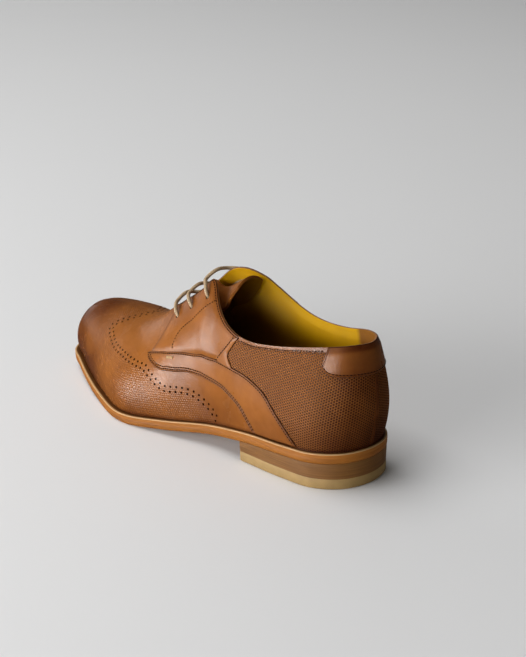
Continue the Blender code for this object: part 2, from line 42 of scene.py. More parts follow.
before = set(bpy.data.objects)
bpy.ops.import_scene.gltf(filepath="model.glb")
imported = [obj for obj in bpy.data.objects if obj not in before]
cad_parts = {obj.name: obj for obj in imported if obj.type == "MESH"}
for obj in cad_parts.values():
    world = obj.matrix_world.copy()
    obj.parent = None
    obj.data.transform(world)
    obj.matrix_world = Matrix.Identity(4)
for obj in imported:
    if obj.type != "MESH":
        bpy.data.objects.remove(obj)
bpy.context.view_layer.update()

MM = 0.001
SIDES = ("lateral", "medial")
SIGN = {"lateral": -1.0, "medial": 1.0}

# Spacing of the outline's curve, by the power of its chords
OUTLINE_SPREAD = 0.75
# Rise of the lace bars over the throat, metres
LACE_RISE = 0.003

# Sole outline: station (percent of length), reach to each side (percent of ball width)
OUTLINE = (
    (0.0, 0.0, 0.0),
    (2.0, 20.2, 18.8),
    (7.2, 32.8, 28.9),
    (14.8, 36.6, 29.9),
    (25.6, 38.1, 26.5),
    (37.7, 38.5, 21.7),
    (49.2, 47.7, 27.0),
    (62.3, 55.6, 39.0),
    (73.8, 46.7, 44.3),
    (83.6, 35.6, 39.0),
    (91.8, 24.7, 27.6),
    (97.4, 16.4, 15.8),
    (100.0, 0.0, 0.0),
)

# Top of the welt: station (percent of length), height (percent of collar height)
WELT_TOP = (
    (0.0, 26.5),
    (13.1, 25.1),
    (25.6, 22.8),
    (34.4, 18.1),
    (42.6, 13.8),
    (52.5, 9.4),
    (59.0, 7.35),
    (69.0, 7.35),
    (78.7, 9.1),
    (90.2, 12.3),
    (100.0, 16.0),
)

# Welt showing outside the upper: share of the way from heel back to toe tip (percent), width (mm)
WELT_MARGIN = (
    (0.0, 3.0),
    (25.0, 3.0),
    (45.0, 3.6),
    (70.0, 3.8),
    (100.0, 4.2),
)

# Crown line over the instep and vamp, shared by both sides: share (percent), across (percent of ball
# width), along (percent of length), up (percent of collar height)
VAMP_CROWN = (
    (48.0, 0.0, 52.1, 101.1),
    (50.5, 0.0, 55.6, 92.3),
    (53.5, 0.0, 59.7, 81.9),
    (57.5, 0.0, 64.9, 70.4),
    (61.0, 1.2, 68.4, 65.5),
    (66.0, 3.1, 72.5, 62.6),
    (74.0, 5.4, 78.4, 60.9),
    (84.0, 6.4, 83.9, 59.6),
    (93.0, 6.0, 87.2, 58.3),
    (100.0, 5.4, 88.2, 57.9),
)

# Crown line of each side from the heel back along the collar to the instep, same columns
CROWN = {
    "lateral": (
        (0.0, 0.0, 1.0, 100.0),
        (5.0, -11.6, 2.6, 99.8),
        (10.0, -19.3, 5.9, 98.3),
        (16.0, -25.0, 11.8, 94.7),
        (23.0, -27.6, 20.3, 89.1),
        (29.0, -27.3, 27.9, 86.2),
        (32.5, -25.6, 32.5, 87.7),
        (35.5, -22.2, 36.7, 92.3),
        (38.0, -17.5, 40.0, 98.9),
        (40.5, -11.0, 43.1, 107.7),
        (43.0, -4.0, 45.9, 112.3),
        (45.5, -0.5, 48.9, 108.7),
    ) + VAMP_CROWN,
    "medial": (
        (0.0, 0.0, 1.0, 100.0),
        (5.0, 11.6, 3.0, 99.6),
        (10.0, 17.8, 7.2, 97.9),
        (16.0, 22.2, 14.4, 92.3),
        (23.0, 25.5, 22.3, 89.6),
        (29.0, 25.8, 28.2, 92.8),
        (32.5, 24.4, 32.0, 98.7),
        (35.5, 20.8, 34.8, 106.2),
        (38.0, 15.8, 37.2, 113.8),
        (40.5, 9.2, 40.5, 117.7),
        (43.0, 3.5, 44.8, 115.3),
        (45.5, 0.5, 48.7, 108.9),
    ) + VAMP_CROWN,
}

# Throat: share (percent), half gap between the facings (percent of ball width), lift of the facing's
# top corner above the crown line (percent of collar height)
VAMP_POINT = 54.8
THROAT = (
    (36.0, 0.0, 0.0),
    (38.5, 0.0, 0.3),
    (41.0, 0.3, 2.0),
    (42.5, 2.6, 3.2),
    (43.5, 4.6, 2.6),
    (45.0, 7.0, 0.8),
    (46.5, 8.1, 0.0),
    (48.0, 8.3, 0.0),
    (50.5, 8.1, 0.0),
    (52.5, 7.1, 0.0),
    (53.8, 5.0, 0.0),
    (54.5, 2.6, 0.0),
    (VAMP_POINT, 0.0, 0.0),
)
# Part of that half gap which each side leaves open
THROAT_SIDE = {"lateral": 1.0, "medial": 0.55}

# Ribs of the last: share (percent), lean of the wall at the welt (degrees outwards), reach of the wall
# (percent of collar height), drop of the crown (degrees), reach of the crown (percent of collar
# height), turn of the crown from sideways (0) to forwards (90) or backwards (-90)
RIBS = (
    (0.0, 15.0, 29.8, 76.0, 27.7, -90.0),
    (5.0, 15.0, 29.8, 76.0, 27.7, -60.0),
    (10.0, 14.0, 28.7, 76.0, 27.7, -32.0),
    (16.0, 11.0, 27.7, 76.0, 26.6, -10.0),
    (23.0, 7.0, 25.5, 78.0, 24.5, 0.0),
    (30.0, 2.0, 25.5, 76.0, 25.5, 0.0),
    (36.0, -2.0, 29.8, 68.0, 27.7, 0.0),
    (42.0, -2.0, 37.2, 44.0, 31.9, 0.0),
    (48.0, 2.0, 35.1, 30.0, 33.0, 0.0),
    (54.0, 6.0, 29.8, 19.0, 33.0, 0.0),
    (57.5, 8.0, 27.7, 12.0, 33.0, 0.0),
    (65.0, 9.0, 25.0, 4.0, 31.9, 0.0),
    (74.0, 11.0, 23.9, 0.0, 27.7, 2.0),
    (84.0, 14.0, 24.5, 0.0, 23.4, 16.0),
    (93.0, 16.0, 25.5, 0.0, 23.4, 48.0),
    (100.0, 16.0, 26.6, 2.0, 26.6, 90.0),
)

# Band from the facing's front tab to the sole: way along it, upper edge and lower edge, each as share
# and climb of the wall (percent)
BAND = (
    (0.0, 54.4, 55.0, 54.7, 49.8),
    (0.04, 53.1, 55.9, 52.4, 43.3),
    (0.15, 49.3, 53.4, 48.4, 37.8),
    (0.26, 45.8, 50.3, 45.0, 35.4),
    (0.36, 42.2, 46.2, 42.0, 32.0),
    (0.42, 40.1, 48.9, 40.1, 32.1),
    (0.52, 35.9, 60.8, 37.0, 34.5),
    (0.60, 32.5, 65.8, 34.8, 34.8),
    (0.68, 28.9, 65.2, 32.8, 31.5),
    (0.76, 25.9, 58.6, 31.2, 27.6),
    (0.84, 23.1, 47.8, 29.7, 21.0),
    (0.92, 20.4, 30.0, 28.3, 11.2),
    (1.0, 15.7, 2.2, 26.8, 1.6),
)
# Way along the band at which the facing's rear edge meets it
BAND_TIP = 0.52
# How far the facing runs under the band (percent of climb)
FACING_TUCK = 1.6

# Facing's edge along throat and collar: way from front to rear, share (percent)
FACING_TOP = (
    (0.0, 51.7),
    (0.25, 47.5),
    (0.5, 43.0),
    (0.75, 36.8),
    (1.0, 30.8),
)
# Hollow of the facing's front edge above the tab (percent of share)
FRONT_HOLLOW = 1.4

# Heel tab: share (percent), climb of its lower edge (percent)
HEEL_TAB = (
    (0.0, 73.0),
    (2.5, 73.0),
    (5.7, 73.3),
    (8.3, 74.4),
    (9.9, 76.2),
    (10.9, 79.2),
    (11.6, 84.0),
)
# Backward lean of the heel tab's front edges, from their foot to the collar (percent of share)
TAB_LEAN = 9.0

# Eyelets of each facing: share and climb of the wall (percent)
EYELETS = (
    (49.6, 82.5),
    (46.4, 85.0),
    (41.6, 86.8),
)

# Lace bars run forward on their way to the throat's edge, by this share (percent), and cross it at
# this climb (percent)
LACE_LEAN = 2.0
LACE_CLIMB = 99.0

# Tongue under the throat: share (percent), half width (mm)
TONGUE_UNDER = (
    (54.5, 15.0),
    (53.0, 17.0),
    (51.0, 18.5),
    (49.0, 19.5),
    (47.0, 19.0),
    (45.5, 17.0),
)
# Tongue's free top: along (percent of length), up (percent of collar height), half width, drop of its
# sides and shift to the inner side (mm)
TONGUE_FREE = (
    (45.2, 103.8, 11.0, 16.0, 1.0),
    (42.3, 107.8, 11.0, 15.0, 3.5),
    (39.3, 113.5, 13.2, 10.0, 2.2),
    (37.4, 117.2, 11.5, 5.0, 2.4),
)

# Scene tables

# Wing line of pinholes, from the crown of the vamp to the welt: share and climb of the wall (percent)
WING_LINE = (
    (64.6, 100.0),
    (65.3, 94.5),
    (70.6, 79.7),
    (75.5, 64.2),
    (72.8, 56.2),
    (68.8, 51.5),
    (62.3, 49.2),
    (56.2, 42.7),
    (53.4, 36.2),
    (51.3, 29.2),
    (49.5, 25.0),
    (46.4, 23.5),
    (43.6, 20.5),
    (40.1, 14.0),
    (38.4, 9.8),
    (37.2, 3.5),
)

# Seam along the facing, behind the eyelets: share and climb (percent)
FACING_SEAM = (
    (39.2, 95.5),
    (40.6, 84.0),
    (42.2, 76.2),
    (44.2, 72.8),
    (46.6, 70.3),
    (47.8, 66.0),
    (48.4, 59.8),
    (48.5, 55.6),
)

# Climb where the embossing ends under the collar (percent); the inner wall leans over, and ends it lower
EMBOSS_TOP = {"lateral": 97.0, "medial": 91.0}
# Front end of the embossing, hidden under the band's arm: share and climb (percent)
EMBOSS_FRONT = ((32.0, 100.0), (35.1, 72.0))
# Share beyond which no embossing is laid (percent)
EMBOSS_REACH = 37.0

# Seam down the heel's back: its profile across and up (mm), its ends (percent of climb), and the radius of
# the heel there (m)
BACK_SEAM = ((-1.5, 0.2), (-0.9, 0.75), (-0.35, 0.6), (0.0, 0.05), (0.35, 0.6), (0.9, 0.75), (1.5, 0.2))
BACK_SEAM_ENDS = (0.5, 71.0)
HEEL_RADIUS = 0.026

# Bar tack at the foot of the facing: share and climb of its two ends (percent)
BAR_TACK = ((49.4, 49.0), (48.0, 47.8))

# Soft creases: side, share and climb of the middle (percent), half length and half width (mm), turn from
# straight up the wall (degrees), depth (mm, a ridge is negative)
CREASES = (
    ("lateral", 57.5, 62.0, 18.0, 5.0, 62.0, 0.55),
    ("lateral", 60.5, 70.0, 16.0, 5.0, 66.0, 0.45),
    ("lateral", 59.0, 66.0, 16.0, 4.0, 64.0, -0.35),
    ("medial", 58.5, 64.0, 18.0, 5.0, 62.0, 0.55),
    ("medial", 61.5, 72.0, 16.0, 5.0, 66.0, 0.45),
    ("lateral", 20.0, 45.0, 20.0, 12.0, 10.0, 0.5),
    ("medial", 20.0, 45.0, 20.0, 12.0, 10.0, 0.5),
)

# Edge profiles of the sole, millimetres: inset from the outline, then drop from the top for the welt, or
# level from top (0) to bottom (1) for the others
WELT_PROFILE = ((1.6, 0.0), (0.9, 0.0), (0.4, 0.02), (0.12, 0.12), (0.0, 0.35), (0.0, 0.7), (0.0, 2.85),
                (7.2, 2.85), (7.2, 0.0))
OUTSOLE_PROFILE = ((0.15, 0.0), (0.05, 0.08), (0.1, 0.5), (0.25, 0.85), (0.8, 1.0))
INSOLE_PROFILE = ((8.2, 0.0), (7.7, 0.2), (7.6, 0.5), (7.6, 1.0))
STACK_PROFILE = ((0.5, 0.0), (0.45, 0.05), (0.55, 0.35), (0.7, 0.7), (0.8, 1.0))
LIFT_PROFILE = ((0.85, 0.0), (0.8, 0.06), (0.8, 0.9), (1.3, 1.0))

# Close spacing near the borders of an overlay, as way across it
BORDER_WAYS = (0.0, 0.002, 0.005, 0.009, 0.014, 0.021, 0.03)

# Overlays (m): depth of their borders under the upper's face, and thickness of their leather
OVERLAY_SUNK = 0.0002
OVERLAY_SHEET = 0.0008
# Part of an overlay's height that is left at the collar and under the band, and how far from there it is
# lowered (m)
COLLAR_THIN = 0.4
COLLAR_THIN_REACH = (0.0, 0.006)
TUCK_THIN = 0.45
TUCK_THIN_REACH = (0.0005, 0.0045)
# Band's arm behind the facing: its width at the foot and at the collar, how far it runs under the facing,
# and its flare where it joins the band (percent of share); the climbs over which they change (percent)
ARM_WIDTHS = (1.0, 0.45)
ARM_CLIMBS = (60.0, 100.0)
ARM_TUCK = 0.6
ARM_FLARE = 2.6
ARM_FLARE_CLIMBS = (63.0, 77.0)
# Forward shift of the facing's rear corner, which leaves room for the arm (percent of share)
FACING_SHIFT = 0.35
# Distance that counts as far from any border or seam (mm)
FAR = 9.0
# Rows of stitches from an overlay's border: the single seam, and the second one of a double seam (mm)
SEAM_INSET = 1.5
SECOND_INSET = 3.0
# Climb of the stitches along the collar, from the heel tab to the facing (percent)
COLLAR_SEAM = 97.0
COLLAR_SEAM_REACH = (11.8, 30.0)
# Points closer than this are one (m), and edges shorter than this are taken out (m)
MERGED = 2e-6
SLIVER = 1e-6
# Rounding of the upper's and the tongue's edges (m), and angle over which they count as sharp (degrees)
EDGE_ROUND = 0.0004
EDGE_ANGLE = 50.0
# Angle over which the sole's edges stay sharp (degrees)
SHARP_EDGE = 40.0
# Thread of a bar tack (m): length, width and height of a stitch, distance between stitches, and lift
TACK_BEAD = (0.0006, 0.0022, 0.0009)
TACK_PITCH = 0.00045
TACK_LIFT = 0.0002
# Pinholes (m): lift of their discs over the leather, and thickness of the discs; the dark discs paint the
# shade inside the holes
PINHOLE_LIFT = 0.00002
PINHOLE_DISC = 0.00012
# Lace (m): length of one turn of its braid, and gap between its hidden runs and the wall
BRAID_TURN = 0.00125
HIDDEN_GAP = 0.00035
# Height of a hidden run, as part of the lace's own
HIDDEN_FLAT = 0.22
# Share at which the suede grip inside the heel ends, over a soft border (percent)
HEEL_GRIP = (12.8, 13.4)
# Lean of the embossed rows (degrees), and rim of a pit as part of its corner's reach
EMBOSS_LEAN = 5.0
EMBOSS_RIM = 0.74

# Camera of the photograph: place (m), heading, dip and roll (degrees), lens and sensor (mm)
CAMERA_PLACE = (-0.53556, -0.64030, 0.38278)
CAMERA_TURN = (42.61, 20.90, -1.32)
CAMERA_LENS = 70.75
CAMERA_SENSOR = 36.0

# Floor (m): reach to each side, and drop below the sole
FLOOR_REACH = 9.0
FLOOR_DROP = 0.0002
# Light from all round: colour and strength
BACKDROP = (1.0, 0.99, 0.97, 1.0)
BACKDROP_STRENGTH = 0.09
# Soft lights: name, place and target (m), power (W), sides (m), and whether it shows only in the gloss
LAMPS = (
    ("window_light", (-1.65, 0.42, 0.45), (0.0, 0.0, 0.05), 36.0, (2.0, 0.7), False),
    ("window_gloss", (-1.95, 0.45, 0.3), (0.0, 0.0, 0.06), 290.0, (3.0, 0.45), True),
    ("wall_gloss", (0.2, 5.2, 0.9), (0.0, 0.0, 0.06), 22.0, (3.0, 1.2), True),
    ("wall_light", (1.8, 5.2, 1.6), (0.3, 0.0, 0.6), 98.0, (7.0, 3.0), False),
    ("ceiling_light", (-0.5, 1.3, 3.2), (0.2, 1.2, 0.0), 68.0, (2.5, 2.5), False),
)


def smooth(table, at):
    """Smooth curve through the rows of a table, read at the values in its first column."""
    rows = np.asarray(table, float)
    keys, values = rows[:, 0], rows[:, 1:]
    steps = np.diff(keys)[:, None]
    grades = np.diff(values, axis=0) / steps
    slopes = np.repeat(grades[:1], len(values), axis=0)
    slopes[1:-1] = (grades[:-1] * steps[1:] + grades[1:] * steps[:-1]) / (steps[:-1] + steps[1:])
    slopes[0] = 1.5 * grades[0] - 0.5 * slopes[1]
    slopes[-1] = 1.5 * grades[-1] - 0.5 * slopes[-2]
    at = np.clip(np.atleast_1d(np.asarray(at, float)), keys[0], keys[-1])
    row = np.clip(np.searchsorted(keys, at, side="right") - 1, 0, len(keys) - 2)
    step = (keys[row + 1] - keys[row])[:, None]
    way = (at - keys[row])[:, None] / step
    start = (2 * way**3 - 3 * way**2 + 1) * values[row] + (way**3 - 2 * way**2 + way) * step * slopes[row]
    end = (3 * way**2 - 2 * way**3) * values[row + 1] + (way**3 - way**2) * step * slopes[row + 1]
    return start + end


def ease(low, high, value):
    """Soft step from 0 at low to 1 at high."""
    way = np.clip((np.asarray(value, float) - low) / (high - low), 0.0, 1.0)
    return way * way * (3 - 2 * way)


def inside(corners, across, up):
    """True for the points that lie inside a polygon."""
    corners = np.asarray(corners, float)
    result = np.zeros(np.shape(across), bool)
    for (x1, y1), (x2, y2) in zip(corners, np.roll(corners, -1, axis=0)):
        if y1 != y2:
            crosses = (y1 > up) != (y2 > up)
            result ^= crosses & (across < (x2 - x1) * (up - y1) / (y2 - y1) + x1)
    return result


def bezier(points, way):
    """Point on each cubic curve at its own way."""
    foot, wall_handle, crown_handle, crown = points
    way = np.asarray(way)[..., None]
    back = 1 - way
    return (back**3 * foot + 3 * back**2 * way * wall_handle
            + 3 * back * way**2 * crown_handle + way**3 * crown)


def running_length(points):
    """Length along rows of points, from the first."""
    steps = np.linalg.norm(np.diff(points, axis=-2), axis=-1)
    return np.concatenate((np.zeros(steps.shape[:-1] + (1,)), np.cumsum(steps, axis=-1)), axis=-1)


class Last:
    """Form of the shoe: outline of the sole, ribs, and the wall of the upper over them."""

    EDGE_SHARES = np.linspace(THROAT[0][0], VAMP_POINT, 190)
    STEP = 0.4

    def __init__(self, sizes):
        self.sizes = sizes
        self.length = sizes.sole_length
        self.width = sizes.ball_width
        self.height = sizes.collar_height
        self.outlines = self.half_outlines()
        self.edges = {side: self.edge_ways(side) for side in SIDES}
        self.spreads = {side: self.spread(side) for side in SIDES}
        self.origin = self.plan_middle()

    def half_outlines(self, samples=600, overlap=3):
        """Plan outline of each side from heel back to toe tip: shares, points and outward directions."""
        rows = np.array(OUTLINE) / 100
        lateral = np.column_stack((-rows[:, 1] * self.width, rows[:, 0] * self.length))
        medial = np.column_stack((rows[:, 2] * self.width, rows[:, 0] * self.length))
        ring = np.vstack((lateral, medial[::-1][1:-1]))
        closed = np.vstack((ring[-overlap:], ring, ring[:overlap + 1]))
        keys = np.append(0.0, np.cumsum(np.hypot(*np.diff(closed, axis=0).T)**OUTLINE_SPREAD))
        table = np.column_stack((keys, closed))
        toe = keys[overlap + len(lateral) - 1]
        starts = {"lateral": keys[overlap], "medial": keys[overlap + len(ring)]}
        halves = {}
        for side, heel in starts.items():
            line = smooth(table, np.linspace(heel, toe, samples))
            lengths = running_length(line)
            along = np.gradient(line, axis=0)
            outward = np.column_stack((along[:, 1], -along[:, 0])) * SIGN[side]
            outward[0] = (0.0, -1.0)
            outward[-1] = (0.0, 1.0)
            outward /= np.hypot(*outward.T)[:, None]
            halves[side] = (100 * lengths / lengths[-1], line, outward)
        return halves

    def outline_at(self, side, share, inset):
        """Plan points and outward directions at shares of one side, moved in by an inset."""
        shares, line, outward = self.outlines[side]
        point = np.stack([np.interp(share, shares, line[:, axis]) for axis in (0, 1)], axis=-1)
        away = np.stack([np.interp(share, shares, outward[:, axis]) for axis in (0, 1)], axis=-1)
        away /= np.linalg.norm(away, axis=-1, keepdims=True)
        return point - away * np.asarray(inset)[..., None], away

    def welt_top(self, along):
        """Height of the welt's top at places along the shoe."""
        return smooth(WELT_TOP, 100 * np.asarray(along) / self.length)[:, 0] * self.height / 100

    def outsole_top(self, along):
        """Height of the outsole's top face."""
        return self.welt_top(along) - self.sizes.welt - self.sizes.gap

    def outsole_bottom(self, along):
        """Height of the outsole's tread, flat on the floor under the ball."""
        return np.clip(self.outsole_top(along) - self.sizes.outsole, 0.0, None)

    def breast_share(self):
        """Share of the way at which the heel's front face stands."""
        shares, line, _ = self.outlines["lateral"]
        return float(np.interp(self.sizes.heel_length, line[:, 1], shares))

    def rib(self, side, share):
        """Four control points of each rib: foot, wall handle, crown handle and crown."""
        plan, outward = self.outline_at(side, share, smooth(WELT_MARGIN, share)[:, 0] * MM)
        foot = np.column_stack((plan, self.welt_top(plan[:, 1]) + self.sizes.gap))
        lean, reach, drop, crown_reach, turn = smooth(RIBS, share).T
        lean, drop, turn = np.radians(lean), np.radians(drop), np.radians(turn)
        wall_way = np.column_stack((outward * np.sin(lean)[:, None], np.cos(lean)))
        crown_way = np.column_stack((SIGN[side] * np.cos(turn) * np.cos(drop),
                                     np.sin(turn) * np.cos(drop), -np.sin(drop)))
        next_share, across, along, up = CROWN[side][1]
        rows = ((-next_share, -across, along, up),) + CROWN[side]
        crown = smooth(rows, share) * np.array((self.width, self.length, self.height)) / 100
        in_throat = (share > THROAT[0][0]) & (share < VAMP_POINT)
        lift = np.where(in_throat, np.clip(smooth(THROAT, share)[:, 1], 0.0, None), 0.0)
        wall_handle = foot + wall_way * (reach * self.height / 100)[:, None]
        crown_handle = crown + crown_way * (crown_reach * self.height / 100)[:, None]
        crown[:, 2] += lift * self.height / 100
        return foot, wall_handle, crown_handle, crown

    def gap_ways(self, side, share, gap):
        """Way up each rib at which it stops short of the crown by a sideways gap."""
        ways = np.linspace(0.5, 1.0, 41)
        ribs = [points[:, None, :] for points in self.rib(side, share)]
        curves = bezier(ribs, np.broadcast_to(ways, (len(share), len(ways))))
        apart = np.abs(curves[:, :, 0] - curves[:, -1:, 0])
        stops = [np.interp(one, row[::-1], ways[::-1]) for one, row in zip(gap, apart)]
        return np.where(np.asarray(gap) > 0, stops, 1.0)

    def edge_ways(self, side):
        """Ways up the ribs at which the throat cuts them."""
        gap = np.clip(smooth(THROAT, self.EDGE_SHARES)[:, 0], 0.0, None) * THROAT_SIDE[side]
        return self.gap_ways(side, self.EDGE_SHARES, gap * self.width / 100)

    def even_wall(self, side, share, climb):
        """Points of the wall before any crease; climb 0 is the welt and 100 the edge."""
        flat_share = np.clip(share.ravel(), 0, 100)
        way = np.interp(flat_share, self.EDGE_SHARES, self.edges[side], left=1.0, right=1.0)
        ribs = self.rib(side, flat_share)
        points = bezier(ribs, way * climb.ravel() / 100)
        drop = np.tan(np.radians(np.clip(smooth(RIBS, flat_share)[:, 2], 0.0, 30.0)))
        closed = ease(VAMP_POINT, VAMP_POINT + 3.0, flat_share)
        reach = self.sizes.crown_round
        apart = np.clip(np.abs(points[:, 0] - ribs[3][:, 0]) / reach, 0.0, 1.0)
        points[:, 2] -= closed * drop * reach / 2 * (1 - apart)**2
        return points.reshape(share.shape + (3,))

    def even_normal(self, side, share, climb, surface):
        """Outward directions of a surface over the last."""
        ahead = surface(side, np.clip(share + self.STEP, 0, 100), climb)
        ahead = ahead - surface(side, np.clip(share - self.STEP, 0, 100), climb)
        up = surface(side, share, np.clip(climb + self.STEP, 0, 100))
        up = up - surface(side, share, np.clip(climb - self.STEP, 0, 100))
        normal = np.cross(ahead, up) * SIGN[side]
        normal[share <= 0, 0] = 0.0
        return normal / np.linalg.norm(normal, axis=-1, keepdims=True)

    def wall(self, side, share, climb):
        """Points on the outer face of the upper, creases and all."""
        share, climb = np.broadcast_arrays(np.asarray(share, float), np.asarray(climb, float))
        points = self.even_wall(side, share, climb)
        depth = np.zeros(share.shape)
        for crease_side, at_share, at_climb, half_long, half_wide, turn, deep in CREASES:
            if crease_side != side:
                continue
            middle = self.even_wall(side, np.array([at_share]), np.array([at_climb]))[0]
            ahead = self.even_wall(side, np.array([at_share + 1]), np.array([at_climb]))[0] - middle
            up = self.even_wall(side, np.array([at_share]), np.array([at_climb + 1]))[0] - middle
            ahead /= np.linalg.norm(ahead)
            up -= ahead * np.dot(up, ahead)
            up /= np.linalg.norm(up)
            angle = np.radians(turn)
            along_way = up * np.cos(angle) + ahead * np.sin(angle)
            side_way = ahead * np.cos(angle) - up * np.sin(angle)
            away = points - middle
            along = np.dot(away, along_way) / (half_long * MM)
            across = np.dot(away, side_way) / (half_wide * MM)
            depth += deep * MM * np.exp(-1.5 * (along**2 + across**2))
        if np.any(np.abs(depth) > 1e-7):
            points = points - self.even_normal(side, share, climb, self.even_wall) * depth[..., None]
        return points

    def raised(self, side, share, climb, height):
        """Points a height above the upper's outer face."""
        share, climb = np.broadcast_arrays(np.asarray(share, float), np.asarray(climb, float))
        normal = self.even_normal(side, share, climb, self.wall)
        return self.wall(side, share, climb) + normal * np.asarray(height)[..., None]

    def spread(self, side):
        """Flat measure of a side: shares, way along it, climbs, and way up it at each share."""
        shares = np.linspace(0, 100, 201)
        climbs = np.linspace(0, 100, 41)
        points = self.even_wall(side, *np.meshgrid(shares, climbs, indexing="ij"))
        along = running_length(points[:, len(climbs) // 2])
        return shares, along, climbs, running_length(points)

    def up_rows(self, side, share):
        """Ways up the side (m) at each of its climbs, one row for each share."""
        shares, _, _, ups = self.spreads[side]
        row = np.clip(np.searchsorted(shares, share) - 1, 0, len(shares) - 2)
        blend = ((share - shares[row]) / (shares[row + 1] - shares[row]))[:, None]
        return ups[row] * (1 - blend) + ups[row + 1] * blend

    def flatten(self, side, share, climb):
        """Way along and way up the side (m) at shares and climbs."""
        shares, along, climbs, _ = self.spreads[side]
        flat_share, flat_climb = share.ravel(), climb.ravel()
        rows = self.up_rows(side, flat_share)
        column = np.clip(np.searchsorted(climbs, flat_climb) - 1, 0, len(climbs) - 2)
        part = (flat_climb - climbs[column]) / (climbs[column + 1] - climbs[column])
        index = np.arange(len(rows))
        up = rows[index, column] * (1 - part) + rows[index, column + 1] * part
        return np.interp(flat_share, shares, along).reshape(share.shape), up.reshape(share.shape)

    def unflatten(self, side, along_way, up_way):
        """Shares and climbs at ways along and up the side (m)."""
        shares, along, climbs, _ = self.spreads[side]
        share = np.interp(along_way, along, shares)
        rows = self.up_rows(side, share)
        column = np.clip((rows < up_way[:, None]).sum(axis=1), 1, len(climbs) - 1)
        index = np.arange(len(rows))
        low, high = rows[index, column - 1], rows[index, column]
        part = np.clip((up_way - low) / (high - low), 0.0, 1.0)
        return share, climbs[column - 1] + part * (climbs[column] - climbs[column - 1])

    def shifted(self, side, share, climb, offset):
        """Shares and climbs of a line on the wall, moved by an offset to its left as seen from outside."""
        points = self.even_wall(side, share, climb)
        along = np.gradient(points, axis=0)
        normal = self.even_normal(side, share, climb, self.even_wall)
        sideways = np.cross(normal, along)
        sideways *= offset / np.linalg.norm(sideways, axis=-1, keepdims=True)
        by_share = (self.even_wall(side, np.clip(share + 0.2, 0, 100), climb)
                    - self.even_wall(side, np.clip(share - 0.2, 0, 100), climb)) / 0.4
        by_climb = (self.even_wall(side, share, np.clip(climb + 0.5, 0, 100))
                    - self.even_wall(side, share, np.clip(climb - 0.5, 0, 100)))
        by_climb /= (np.clip(climb + 0.5, 0, 100) - np.clip(climb - 0.5, 0, 100))[:, None]
        ways = np.stack((by_share, by_climb), axis=1)
        steps = np.linalg.solve(ways @ ways.swapaxes(1, 2), ways @ sideways[:, :, None])[:, :, 0]
        return np.clip(share + steps[:, 0], 0, 100), np.clip(climb + steps[:, 1], 0, 100)

    def plan_middle(self):
        """Place on the floor under the middle of the shoe."""
        edges = np.vstack([line for _, line, _ in self.outlines.values()])
        back = self.even_wall("lateral", np.zeros(13), np.linspace(0, 100, 13))
        low = np.array((edges[:, 0].min(), min(0.0, back[:, 1].min())))
        return np.append((low + edges.max(axis=0)) / 2, 0.0)


def ring_shares(columns, stops=()):
    """Shares along one side, closer together at heel and toe, passing through the stops."""
    even = np.linspace(0, 1, columns + 1)
    shares = 100 * (0.5 * even + 0.25 * (1 - np.cos(np.pi * even)))
    for stop in stops:
        shares[np.argmin(np.abs(shares - stop))] = stop
    return shares


def bordered(count):
    """Ways across an overlay from 0 to 1, close together near both borders."""
    near = np.array(BORDER_WAYS)
    middle = np.linspace(near[-1], 1 - near[-1], count)
    return np.concatenate((near[:-1], middle, 1 - near[-2::-1]))


def grid_faces(rows, columns, round_rows=False, round_columns=False):
    """Quads of a grid whose points run row by row; a round grid closes on itself."""
    row = np.arange(rows if round_rows else rows - 1)
    column = np.arange(columns if round_columns else columns - 1)
    row, column = np.meshgrid(row, column, indexing="ij")
    row_after = (row + 1) % rows
    column_after = (column + 1) % columns
    quads = np.stack((row * columns + column, row * columns + column_after,
                      row_after * columns + column_after, row_after * columns + column), axis=-1)
    return quads.reshape(-1, 4).tolist()


def placed(name, data):
    """New object in the scene."""
    thing = bpy.data.objects.new(name, data)
    bpy.context.scene.collection.objects.link(thing)
    return thing


def new_piece(last, name, points, faces, finishes, values=None, closed=False):
    """Mesh object from points on the last, doubles merged; values are attributes at the points."""
    mesh = bpy.data.meshes.new(name)
    mesh.from_pydata((np.reshape(points, (-1, 3)) - last.origin).tolist(), [], faces)
    for key, value in (values or {}).items():
        value = np.asarray(value, np.float32)
        if value.ndim > 1 and value.shape[-1] == 3:
            layer = mesh.attributes.new(key, "FLOAT_VECTOR", "POINT")
            layer.data.foreach_set("vector", value.ravel())
        else:
            layer = mesh.attributes.new(key, "FLOAT", "POINT")
            layer.data.foreach_set("value", value.ravel())
    shape = bmesh.new()
    shape.from_mesh(mesh)
    bmesh.ops.remove_doubles(shape, verts=shape.verts, dist=MERGED)
    bmesh.ops.dissolve_degenerate(shape, edges=shape.edges, dist=SLIVER)
    if closed:
        bmesh.ops.recalc_face_normals(shape, faces=shape.faces)
    shape.to_mesh(mesh)
    shape.free()
    mesh.shade_smooth()
    for finish in finishes:
        mesh.materials.append(finish)
    return placed(name, mesh)


def settle(piece):
    """Turn a piece with its modifiers into a plain mesh."""
    bpy.context.view_layer.update()
    depsgraph = bpy.context.evaluated_depsgraph_get()
    mesh = bpy.data.meshes.new_from_object(piece.evaluated_get(depsgraph))
    piece.modifiers.clear()
    rough = piece.data
    piece.data = mesh
    bpy.data.meshes.remove(rough)
    mesh.name = piece.name


def thicken(piece, depth, inner=0, rim=0, skived=None):
    """Give a sheet its thickness inwards; the inner face and the rim may take later materials.

    The attribute named by skived scales the thickness at each point.
    """
    solid = piece.modifiers.new("thickness", "SOLIDIFY")
    if skived:
        group = piece.vertex_groups.new(name=skived)
        for index, entry in enumerate(piece.data.attributes[skived].data):
            group.add([index], entry.value, "REPLACE")
        solid.vertex_group = skived
    solid.thickness = depth
    solid.offset = -1.0
    solid.use_even_offset = True
    solid.material_offset = inner
    solid.material_offset_rim = rim


